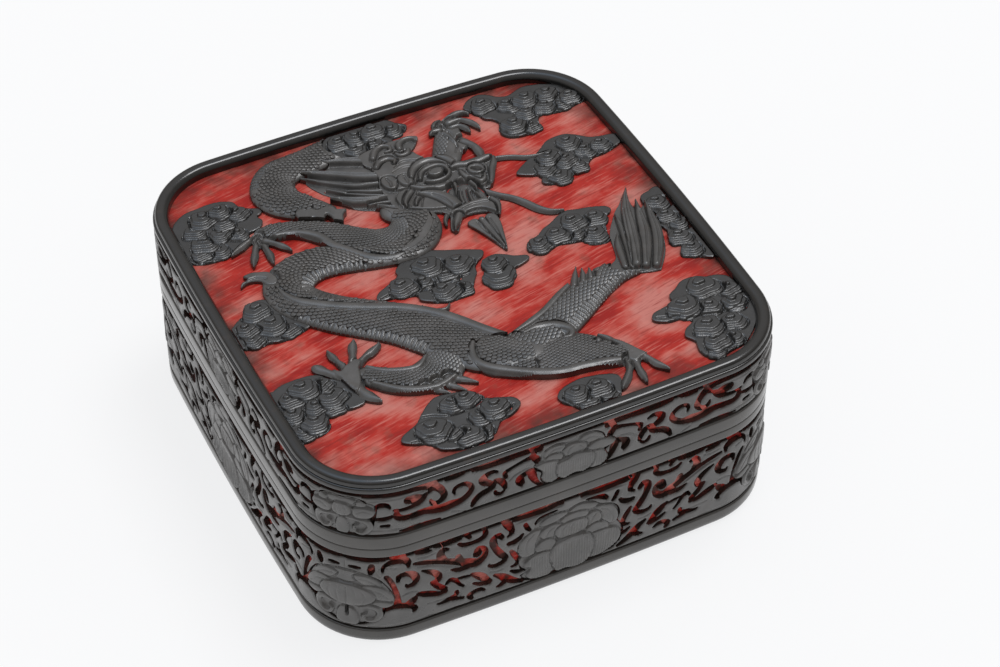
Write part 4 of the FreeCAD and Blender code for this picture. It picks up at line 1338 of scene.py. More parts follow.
# Dragon's head, mane, beard and whiskers.
# The deepest carving on the lid. The head is built up in layers that overlap: brow, eye, snout and
# jaw over a low plate. The mane is long blades of hair, each grooved along its length.
head_spacing = 0.00019
layer_edge = 0.0006
layer_groove = 0.0007
head_groove = 0.0009
mane_groove = 0.0014
head_layers = [
    ("plate", 1.1, 0.1, "640 205, 690 190, 740 186, 790 188, 803 200, 785 225, 765 245, 770 270, 795 288, "
     "818 292, 836 305, 842 330, 850 350, 885 354, 925 344, 938 356, 925 378, 912 400, 900 425, 885 446, "
     "868 448, 862 458, 868 478, 878 500, 868 535, 852 545, 835 525, 800 516, 775 520, 758 540, 742 560, "
     "730 548, 740 522, 748 500, 735 480, 705 468, 668 458, 645 436, 640 405, 640 370, 640 330, 650 300, "
     "655 270, 640 240"),
    ("plate", 1.7, 0.3, "668 378, 700 368, 735 372, 752 392, 748 420, 765 450, 755 475, 720 466, 690 452, "
     "662 430, 655 400"),
    ("cut", 0, 0.6, "735 400 4, 712 425 5, 700 448 3"),
    ("cut", 0, 0.6, "715 392 4, 690 414 5, 676 436 3"),
    ("cut", 0, 0.6, "694 386 4, 672 404 5, 660 420 3"),
    ("strand", 1.6, 0.7, "745 398 8, 722 404 7, 700 420 5, 690 436 3"),
    ("strand", 1.5, 0.7, "700 384 8, 686 396 8, 672 414 6, 668 430 3"),
    ("plate", 1.8, 0.5, "652 262, 672 240, 700 226, 735 224, 762 240, 772 268, 790 290, 815 298, 836 312, "
     "836 335, 800 345, 745 345, 715 366, 680 370, 652 352, 648 300"),
    ("strand", 1.7, 0.7, "668 232 8, 684 208 9, 705 198 8, 722 208 7, 718 224 6, 704 226 4"),
    ("strand", 1.7, 0.7, "742 226 8, 748 208 9, 766 198 8, 786 202 7, 790 214 4"),
    ("strand", 1.7, 0.7, "760 238 7, 752 250 8, 734 252 7, 726 242 5"),
    ("strand", 1.9, 0.7, "660 270 7, 676 254 9, 698 250 9, 712 262 7, 706 274 4"),
    ("cut", 0, 0.5, "700 290 4, 728 278 5, 760 288 4"),
    ("cut", 0, 0.5, "690 306 4, 722 298 5, 756 306 4"),
    ("plate", 2.1, 0.5, "648 322, 660 312, 680 318, 684 338, 672 362, 654 358, 646 340"),
    ("cut", 0, 0.6, "664 322 4, 666 340 6, 662 354 3"),
    ("plate", 2.2, 0.6, "688 330, 704 322, 718 330, 722 348, 712 368, 694 364, 686 348"),
    ("cut", 0, 0.6, "706 332 4, 706 350 6, 704 362 3"),
    ("strand", 2.0, 0.7, "722 340 6, 736 318 9, 758 302 11, 784 298 11, 806 308 9, 822 324 6"),
    ("strand", 2.2, 0.5, "738 356 5, 750 336 6, 768 326 7, 790 324 7, 808 332 6, 815 348 6, 810 366 6, "
     "790 378 6, 766 378 6, 748 370 5"),
    ("plate", 2.3, 0.9, "760 352, 768 340, 784 337, 797 343, 800 354, 792 364, 776 367, 765 362"),
    ("cut", 0, 1.3, "803 344 3, 806 356 6, 798 369 5, 782 374 3"),
    ("cut", 0, 0.7, "768 346 2, 780 340 3, 792 344 2"),
    ("strand", 2.2, 0.7, "812 300 6, 828 312 11, 836 330 10, 836 346 6"),
    ("strand", 2.0, 0.6, "708 372 5, 728 386 8, 756 398 10, 790 402 10, 826 396 9, 848 384 6"),
    ("cut", 0, 0.4, "724 394 3, 756 408 4, 792 411 4, 828 405 3"),
    ("plate", 1.7, 0.5, "836 352, 858 348, 884 354, 904 362, 908 384, 896 410, 880 436, 866 440, 850 420, "
     "838 398, 842 376"),
    ("strand", 2.2, 0.6, "826 350 6, 842 346 9, 866 352 11, 896 352 11, 922 350 9, 936 356 5"),
    ("strand", 2.1, 0.6, "934 358 5, 926 376 8, 912 396 8, 900 420 7, 888 440 5"),
    ("plate", 2.1, 0.5, "856 372, 866 362, 884 362, 896 374, 894 392, 880 400, 864 396, 856 386"),
    ("cut", 0, 1.7, "868 376 6, 878 382 10, 884 388 6"),
    ("strand", 2.0, 0.6, "838 372 5, 842 390 8, 852 408 9, 866 424 8, 880 420 6, 888 406 4"),
    ("plate", 0.35, 0.1, "786 412, 806 404, 832 406, 850 418, 860 440, 862 468, 848 482, 816 482, 796 470, "
     "784 440"),
    ("strand", 0.9, 0.9, "798 474 6, 802 450 5, 812 424 3"),
    ("strand", 0.8, 0.8, "820 480 6, 824 452 4, 830 426 2"),
    ("strand", 0.9, 0.9, "846 478 6, 842 456 4, 836 436 2"),
    ("strand", 1.1, 0.9, "808 402 6, 804 420 5, 794 440 2"),
    ("strand", 1.1, 0.9, "846 412 6, 850 432 5, 846 448 2"),
    ("strand", 1.8, 0.9, "716 404 7, 736 412 13, 756 430 18, 770 456 19, 778 484 15, 776 506 7"),
    ("cut", 0, 0.4, "740 422 3, 758 446 4, 766 476 3"),
    ("plate", 1.7, 0.5, "752 494, 778 488, 804 482, 836 482, 866 486, 880 502, 872 528, 858 550, 846 534, "
     "826 514, 796 510, 772 520, 756 512"),
    ("cut", 0, 0.5, "784 498 3, 816 494 4, 852 500 4, 868 510 3"),
    ("strand", 1.6, 0.7, "864 492 7, 870 512 7, 864 534 5, 856 550 3"),
    ("strand", 1.5, 0.9, "768 512 10, 754 530 9, 742 548 5, 736 560 2"),
    ("strand", 1.2, 0.7, "740 500 6, 730 515 5, 726 530 3")]
mane_layers = [
    ("plate", 0.25, 0.1, "560 204, 610 206, 648 214, 664 240, 662 300, 652 350, 662 398, 700 440, 748 452, "
     "742 466, 690 460, 640 438, 604 404, 566 382, 530 344, 535 322, 510 290, 488 240, 500 222, 530 226"),
    ("strand", 1.1, 0.7, "700 425 6, 668 420 7, 638 404 5, 612 390 2"),
    ("strand", 1.0, 0.7, "655 376 5, 615 354 6, 585 336 6, 550 312 5, 520 286 2"),
    ("strand", 1.7, 0.8, "674 246 12, 642 225 12, 604 208 10, 566 196 6, 548 190 2"),
    ("strand", 1.3, 0.8, "664 326 7, 628 315 8, 590 303 8, 552 279 7, 512 250 5, 480 224 2"),
    ("strand", 2.1, 0.9, "670 306 11, 630 289 12, 590 266 12, 550 243 10, 512 222 7, 488 211 2"),
    ("strand", 1.2, 0.7, "664 352 6, 625 343 7, 592 328 5, 562 314 2"),
    ("strand", 2.0, 0.9, "692 392 8, 645 384 10, 604 374 12, 566 359 13, 540 343 9, 514 328 2"),
    ("strand", 1.3, 0.8, "708 412 7, 664 404 7, 628 393 6, 588 386 2"),
    ("strand", 1.9, 0.9, "750 458 8, 704 451 10, 665 439 10, 634 421 8, 604 400 2"),
    ("cut", 0, 0.6, "662 236 2, 635 221 4, 600 206 4, 565 196 2"),
    ("cut", 0, 0.6, "658 300 2, 625 286 4, 590 266 5, 550 243 4, 510 222 2"),
    ("cut", 0, 0.5, "645 315 2, 600 305 4, 556 280 4, 512 250 2"),
    ("cut", 0, 0.6, "684 390 2, 640 383 4, 600 372 5, 565 358 5, 532 339 2"),
    ("cut", 0, 0.6, "738 456 2, 700 450 4, 665 438 4, 630 419 2")]
beard_layers = [
    ("plate", 0.9, 0.5, "774 546, 792 536, 812 544, 834 534, 850 546, 848 576, 840 606, 830 640, 819 668, "
     "808 640, 797 606, 786 576"),
    ("strand", 1.1, 0.6, "812 545 8, 814 590 7, 817 630 5, 818 656 2"),
    ("cut", 0, 0.5, "796 552 3, 802 590 4, 812 636 2"),
    ("cut", 0, 0.5, "830 552 3, 828 590 4, 822 636 2"),
    ("cut", 0, 0.4, "812 550 2, 814 590 3, 817 630 2")]
whisker_layers = [
    ("strand", 0.4, 1.3, "846 428 8, 862 452 10, 886 480 10, 912 504 10, 934 534 12, 952 566 12, 974 590 9, "
     "1002 602 3"),
    ("strand", 0.4, 1.1, "924 352 8, 950 356 8, 980 366 8, 1010 382 8, 1040 390 7, 1075 392 3")]


def carved_relief(name, layers, spacing, groove=layer_groove):
    """A lid relief piece that is all hand cutting."""
    low = np.min([lid_marks(layer[3])[:, :2].min(0) for layer in layers], axis=0)
    high = np.max([lid_marks(layer[3])[:, :2].max(0) for layer in layers], axis=0)
    room = 0.0025
    board = Carving(low - room, high + room, spacing, False)
    carve(board, layers, lid_marks, layer_edge, groove)
    trim(board)
    claim(board)
    relief_piece(name, board)


carved_relief("dragon_head", head_layers, head_spacing, head_groove)
carved_relief("dragon_beard", beard_layers, head_spacing)
carved_relief("dragon_mane", mane_layers, head_spacing, mane_groove)
carved_relief("dragon_whiskers", whisker_layers, head_spacing)

# Tail tuft: a fan of long pointed hairs that sweeps up and to the right from the tail's end.
tuft_layers = [
    ("plate", 0.5, 0.1, "1000 830, 1037 802, 1060 729, 1099 672, 1130 640, 1160 618, 1161 678, 1186 668, "
     "1183 740, 1161 819, 1120 878, 1105 885, 1054 872, 1015 862"),
    ("strand", 1.2, 0.7, "1040 845 9, 1052 800 10, 1062 765 8, 1076 735 2"),
    ("strand", 1.6, 0.8, "1108 872 10, 1142 818 13, 1166 765 13, 1180 710 9, 1190 662 2"),
    ("strand", 1.4, 0.8, "1055 850 9, 1076 795 11, 1090 745 10, 1098 705 7, 1102 675 2"),
    ("strand", 1.8, 0.8, "1085 862 11, 1116 805 14, 1140 752 14, 1156 700 10, 1170 652 2"),
    ("strand", 1.9, 0.9, "1066 852 11, 1092 790 15, 1112 735 15, 1132 676 12, 1152 632 7, 1168 606 2"),
    ("cut", 0, 0.5, "1072 850 2, 1095 794 4, 1116 735 4, 1135 680 4, 1158 625 2"),
    ("cut", 0, 0.4, "1060 840 2, 1086 780 3, 1106 725 3, 1128 668 2"),
    ("cut", 0, 0.5, "1090 860 2, 1118 806 4, 1143 752 4, 1160 690 2"),
    ("cut", 0, 0.5, "1114 868 2, 1145 818 4, 1168 765 4, 1183 700 2"),
    ("cut", 0, 0.4, "1058 845 2, 1078 795 3, 1093 740 3")]
carved_relief("dragon_tail_tuft", tuft_layers, head_spacing)


# Scales.
# The dragon's body and legs are covered in rows of small overlapping scales, cut one by one and
# lifted at their free end. Each row is shifted by half a scale against the last.
def scale_shape():
    """One scale of unit length and width, its free end towards +x."""
    outline = []
    steps = 10
    for index in range(steps):
        turn = 2 * math.pi * index / steps
        reach = 0.66 if math.cos(turn) > 0 else 0.5
        wide = 0.5 - 0.14 * max(0.0, math.cos(turn))
        outline.append((reach * math.cos(turn), wide * math.sin(turn)))
    low = [(x, y, -0.30) for x, y in outline]
    rim = [(x, y, -0.02 + 0.25 * (x + 0.5)) for x, y in outline]
    crown = [(x * 0.66 + 0.05, y * 0.66, 0.05 + 0.25 * (x * 0.66 + 0.5)) for x, y in outline]
    return small_shape("scale_shape", [low, rim, crown], 0.02)


scale = scale_shape()
body_fullness = 2.3
body_edge = 0.0009


def route_places(route, spacing):
    """Evenly spaced places along a route: place, half width and heading of each."""
    steps = np.hypot(*np.diff(route[:, :2], axis=0).T)
    walked = np.concatenate([[0], np.cumsum(steps)])
    runs = np.arange(spacing / 2, walked[-1], spacing)
    place = np.stack([np.interp(runs, walked, route[:, column]) for column in range(3)], 1)
    ahead, behind = (
        np.stack([np.interp(runs + shift, walked, route[:, column]) for column in range(2)], 1)
        for shift in (spacing / 4, -spacing / 4))
    heading = ahead - behind
    heading /= np.maximum(np.linalg.norm(heading, axis=1), 1e-9)[:, None]
    return place, heading


def body_height(across, half, rise):
    """Height of a rounded body's section, which is lower where the body is thin."""
    thin = np.minimum(1, half / 0.005)
    edge = body_edge * thin
    return edge + (rise * thin ** 0.5 - edge) * (1 - np.clip(np.abs(across), 0, 1) ** body_fullness) ** 0.5


def scale_spots(route, rise, length, width, share_low, share_high):
    """Where the scales of a rounded body sit, between two places across it, in rows."""
    spots = []
    for row, (place, heading) in enumerate(zip(*route_places(route, length))):
        half = place[2]
        side = np.array([-heading[1], heading[0]])
        section = np.linspace(-1, 1, 81)
        section_out = section * half
        section_up = body_height(section, half, rise)
        walked = np.concatenate([[0], np.cumsum(np.hypot(np.diff(section_out), np.diff(section_up)))])
        start = (row % 2) * width / 2
        for run in np.arange(start + width * 0.6, walked[-1] - width * 0.4, width):
            share = np.interp(run, walked, section)
            if not share_low < share < share_high:
                continue
            spot = place[:2] + side * share * half
            if read_grid(taken, taken.inside, spot[0], spot[1]) > -scale_margin:
                continue
            if panel_inside(spot[0], spot[1]) < 0.001:
                continue
            here = np.interp(run, walked, section_up)
            lean_out, lean_up = (
                np.interp(run + 1e-4, walked, line) - np.interp(run - 1e-4, walked, line)
                for line in (section_out, section_up))
            facing = (-side[0] * lean_up, -side[1] * lean_up, lean_out)
            spots.append((
                (spot[0], spot[1], panel_top + here), facing,
                (heading[0], heading[1], 0), (length * 1.28, width * 1.06, length)))
    return spots


def raise_body(carving, route, rise):
    """The rounded trunk under the scales."""
    window, inside, across, _, half = stroke_field(carving, route, carving.spacing * 2)
    lay_over(carving, window, inside, body_height(across, half, rise), 0)


def join_body(carving, route, rise):
    """Keeps a limb from sinking below the body that it grows out of."""
    window, inside, across, _, half = stroke_field(carving, route, 0)
    joined = np.maximum(carving.height[window], body_height(across, half, rise))
    carving.height[window] = np.where(inside > 0, joined, carving.height[window])


def on_face(carving, spots, slack):
    """The scales that lie on a carving, neither buried nor in the air by more than the slack."""
    place = np.array([spot[0] for spot in spots]).reshape(-1, 3)
    face = panel_top + read_grid(carving, carving.height, place[:, 0], place[:, 1])
    inside = read_grid(carving, carving.inside, place[:, 0], place[:, 1])
    kept = (inside > 0.0002) & (np.abs(place[:, 2] - face) < slack)
    return [spot for spot, good in zip(spots, kept) if good]


# Dragon's body and legs.
# Rounded strands that taper to the neck and the tail, with a smooth ridge along the back, blocks
# along the belly, smooth borders on the legs, and long clawed toes.
dragon_rise = 0.0027
limb_level = 0.0023
toe_level = 0.0019
scale_length = 0.00125
scale_width = 0.00138
leg_scale_length = 0.00105
leg_scale_width = 0.00112
rib_depth = 0.0008
rib_pitch = 0.0014
body_spacing = 0.0003
border_groove = 0.0004
body_step = 0.0006
body_room = 0.012
toe_edge = 0.0009
toe_groove = 0.0008
palm_rise = 0.0003
scaled_share = 0.86

leg_marks = {
    "dragon_left_foreleg": "325 365 24, 360 368 26, 400 385 29, 440 412 36, 478 450 44, 515 490 50, "
     "560 520 52, 612 522 52, 652 492 50, 668 455 46, 655 425 36, 635 408 24",
    "dragon_right_foreleg": "835 300 36, 862 255 38, 878 215 32, 874 182 24",
    "dragon_left_hind_leg": "345 905 24, 370 930 34, 405 957 40, 450 972 46, 500 965 54, 535 935 46",
    "dragon_right_hind_leg": "640 985 62, 700 1012 70, 760 1030 70, 820 1056 58, 870 1084 44, 912 1112 27"}
leg_scaled = {"dragon_right_foreleg": (0.05, 0.8)}
leg_layers = {
    "dragon_left_foreleg": [
        ("strand", 2.3, 0.4, "335 392 6, 372 396 9, 405 410 10, 436 440 11, 452 480 11, 478 515 11, "
         "500 545 11, 530 570 11, 566 584 8, 590 584 4"),
        ("cut", 0, 0.8, "606 560 3, 630 548 6, 652 522 4")],
    "dragon_right_foreleg": [
        ("plate", 2.0, 0.4, "852 196, 868 184, 894 186, 908 206, 904 236, 910 262, 896 290, 878 300, "
         "874 270, 866 240, 856 218"),
        ("cut", 0, 0.5, "862 196 3, 878 232 5, 876 272 4, 860 300 3")],
    "dragon_left_hind_leg": [
        ("strand", 2.2, 0.3, "356 893 5, 385 918 7, 425 936 8, 462 940 7, 490 918 4"),
        ("strand", 0.9, 0.7, "450 1000 12, 472 1022 9, 492 1044 2"),
        ("strand", 0.9, 0.7, "480 1000 12, 508 1025 9, 528 1052 2"),
        ("strand", 0.9, 0.7, "510 995 12, 540 1018 9, 562 1040 2"),
        ("strand", 2.0, 0.3, "350 944 6, 396 986 9, 436 1006 9, 480 1014 8, 524 1002 5")],
    "dragon_right_hind_leg": [
        ("strand", 2.2, 0.4, "604 925 6, 590 950 9, 586 980 10, 602 1010 11, 645 1044 11, 700 1078 11, "
         "750 1096 11, 800 1102 11, 850 1112 11, 895 1126 8"),
        ("strand", 2.3, 0.4, "722 950 5, 760 944 9, 800 956 11, 824 984 9, 814 1004 7, 796 1004 4"),
        ("cut", 0, 0.9, "800 978 6, 806 988 8, 800 996 4"),
        ("strand", 1.4, 0.6, "864 1042 8, 876 1032 8, 890 1048 6, 900 1066 4"),
        ("cut", 0, 1.6, "708 1036 4, 706 1050 9, 700 1062 6")]}
leg_ribs = {"dragon_left_foreleg": ["602 570 8, 650 550 10, 696 508 11, 712 465 10"]}
toe_marks = {
    "dragon_left_foreleg": [
        "308 368 13, 280 378 8, 262 386 10, 240 398 7, 226 408 2",
        "304 382 12, 284 412 8, 274 432 10, 264 450 7, 258 466 2",
        "310 390 12, 309 420 8, 309 440 10, 306 460 7, 304 476 2",
        "318 392 11, 334 410 8, 346 424 10, 356 440 6, 360 452 2"],
    "dragon_right_foreleg": [
        "878 185 14, 900 168 10, 925 158 11, 944 160 8, 956 172 2",
        "895 200 13, 915 205 9, 926 220 10, 928 238 3",
        "896 182 13, 925 184 9, 944 200 10, 954 220 8, 956 238 2",
        "898 262 13, 914 290 11, 916 318 12, 910 342 4",
        "862 198 12, 846 198 10, 836 206 4"],
    "dragon_left_hind_leg": [
        "316 872 14, 306 842 8, 302 822 10, 298 802 3",
        "334 864 12, 346 836 9, 356 812 11, 366 796 4",
        "342 872 12, 366 856 9, 388 846 12, 410 834 7, 414 826 2",
        "292 888 14, 272 864 11, 258 844 14, 250 834 4",
        "314 918 18, 316 948 14, 324 970 15, 338 992 8, 344 1000 2"],
    "dragon_right_hind_leg": [
        "902 1124 14, 886 1152 8, 872 1170 10, 854 1188 9, 844 1200 3",
        "912 1126 13, 907 1156 8, 905 1176 10, 903 1196 6, 902 1206 2",
        "928 1116 13, 942 1142 9, 950 1162 11, 962 1182 6, 966 1192 2",
        "898 1062 10, 888 1040 9, 874 1024 4"]}
palm_marks = {
    "dragon_left_hind_leg": "285 866, 284 882, 291 905, 298 936, 306 952, 322 936, 334 908, 340 886, "
     "352 868, 342 856, 328 862, 312 868, 298 878",
    "dragon_right_hind_leg": "890 1052, 906 1062, 920 1084, 934 1110, 942 1126, 926 1134, 908 1140, "
     "896 1128, 904 1104, 900 1080"}
grows_from = {
    "dragon_left_foreleg": ["dragon_trunk"],
    "dragon_left_hind_leg": ["dragon_trunk"],
    "dragon_right_hind_leg": ["dragon_trunk", "dragon_tail"],
    "dragon_trunk": ["dragon_tail"]}
body_marks = {
    "dragon_trunk": "640 430 40, 670 465 46, 668 512 50, 632 548 50, 585 562 42, 530 556 38, 480 538 44, "
     "430 522 50, 380 518 54, 335 532 58, 304 562 60, 300 602 58, 325 648 58, 372 698 60, 430 745 63, "
     "485 790 65, 530 845 66, 575 910 66, 620 962 62, 668 990 56, 712 1000 48",
    "dragon_tail": "700 985 54, 750 968 56, 800 948 56, 860 914 54, 910 886 50, 960 864 43, 1010 852 34, "
     "1060 848 28, 1092 840 22",
    "dragon_neck": "600 150 46, 560 158 46, 520 166 46, 480 172 48, 440 182 52, 415 205 54, 402 240 56, "
     "407 272 54, 426 300 48, 450 322 40, 476 340 30, 500 354 18"}
body_layers = {
    "dragon_trunk": [
        ("strand", 0.7, 0.8, "545 770 7, 578 786 9, 602 790 6, 616 778 2"),
        ("strand", 2.5, 0.4, "276 566 3, 284 598 8, 304 628 11, 345 660 12, 392 690 12, 445 718 12, "
         "505 748 12, 562 792 12, 602 838 12, 640 890 11, 668 926 10, 690 946 7, 702 956 3"),
        ("plate", 0.8, 0.7, "203 520, 211 505, 228 498, 222 485, 244 481, 262 487, 282 496, 294 520, "
         "284 544, 262 538, 252 518, 230 510, 214 514"),
        ("cut", 0, 0.6, "222 504 3, 246 504 4, 268 516 4")],
    "dragon_tail": [
        ("strand", 2.5, 0.4, "690 944 5, 750 924 9, 800 903 9, 850 872 9, 905 842 5"),
        ("strand", 0.9, 0.8, "902 850 9, 916 826 8, 934 796 2"),
        ("strand", 0.9, 0.8, "928 846 9, 938 826 7, 944 806 2"),
        ("strand", 0.9, 0.7, "950 842 8, 956 826 6, 960 812 2")],
    "dragon_neck": [
        ("plate", 1.9, 0.8, "414 342, 430 332, 446 340, 454 326, 470 312, 460 340, 470 352, 490 350, "
         "508 358, 512 370, 532 380, 520 393, 516 400, 506 420, 490 412, 489 394, 483 378, 474 386, 468 402, "
         "456 390, 447 376, 438 388, 422 378, 416 362")]}
body_ribs = {
    "dragon_trunk": [
        "490 576 10, 440 566 13, 402 560 14, 370 560 14, 348 572 14, 340 590 14, 346 612 14, 366 636 12, "
         "392 656 9",
        "276 676 9, 298 702 13, 336 741 13, 380 780 13, 434 820 13, 482 868 13, 520 918 10"],
    "dragon_tail": ["790 999 9, 852 961 13, 908 929 13, 958 902 12, 1008 881 9, 1052 869 7"],
    "dragon_neck": ["600 116 9, 545 124 11, 480 138 12, 428 146 13, 384 176 13, 358 216 12"]}


def clear_of(others, spots):
    """The scales that lie over none of the others."""
    if not others or not spots:
        return spots
    there = np.array([spot[0][:2] for spot in others])
    here = np.array([spot[0][:2] for spot in spots])
    gaps = np.hypot(here[:, None, 0] - there[:, 0], here[:, None, 1] - there[:, 1]).min(axis=1)
    return [spot for spot, gap in zip(spots, gaps) if gap > scale_length * 0.75]


def body_route(name):
    """The middle line of a length of the body."""
    return eased_route(lid_marks(body_marks[name]), body_step)


def cut_ribs(carving, marks):
    """Cuts the blocks along the belly, and returns their route."""
    route = eased_route(lid_marks(marks), body_step)
    window, inside, _, along, _ = stroke_field(carving, route, 0)
    notch = np.clip(1 - 2.2 * np.abs(np.sin(np.pi * along / rib_pitch)), 0, 1)
    carving.height[window] -= rib_depth * notch * (inside > 0)
    return route


def away_from(routes, spot):
    """How far a spot is outside the bands that lie on a body."""
    gaps = [(np.hypot(*(route[:, :2] - spot[:2]).T) - route[:, 2]).min() for route in routes]
    return min(gaps, default=1.0)


def body_row(name):
    """What scale_spots takes for a length of the body."""
    return body_route(name), dragon_rise, scale_length, scale_width, -scaled_share, scaled_share


def scaled_piece(name, board, layers, bands, rows):
    """Finishes a carved length of the dragon: joins it to what it grows from, lays its bands on,
    and sets its scales. rows are the routes that carry scales, with what scale_spots takes."""
    for parent in grows_from.get(name, ()):
        join_body(board, body_route(parent), dragon_rise)
        rows.append(body_row(parent))
    spots = []
    for row in rows:
        spots += clear_of(spots, on_face(board, scale_spots(*row), 0.00008))
    carve(board, layers, lid_marks, layer_edge, border_groove)
    bands += [eased_route(lid_marks(layer[3]), body_step) for layer in layers if layer[0] == "strand"]
    for toe in toe_marks.get(name, ()):
        route = eased_route(lid_marks(toe), fine_step)
        raise_stroke(board, route, toe_edge, toe_level - toe_edge, toe_groove)
        bands.append(route)
    if name in palm_marks:
        outline = eased_outline(lid_marks(palm_marks[name]), fine_step)
        raise_petal(board, outline, toe_level, palm_rise, layer_edge, 0)
    trim(board)
    spots = [spot for spot in spots if away_from(bands, spot[0]) > 0.0001]
    claim(board)
    relief_piece(name, board, [(scale, on_face(board, spots, 0.0003))])


def dragon_leg(name):
    """One leg: a scaled strand, its smooth border and its toes."""
    board = relief_board(name, body_spacing, body_room)
    route = eased_route(lid_marks(leg_marks[name]), body_step)
    raise_body(board, route, limb_level)
    bands = [cut_ribs(board, marks) for marks in leg_ribs.get(name, ())]
    low, high = leg_scaled.get(name, (-scaled_share, scaled_share))
    rows = [(route, limb_level, leg_scale_length, leg_scale_width, low, high)]
    scaled_piece(name, board, leg_layers[name], bands, rows)


def dragon_body(name):
    """One length of the body."""
    board = relief_board(name, body_spacing, body_room)
    raise_body(board, body_route(name), dragon_rise)
    bands = [cut_ribs(board, marks) for marks in body_ribs[name]]
    scaled_piece(name, board, body_layers[name], bands, [body_row(name)])


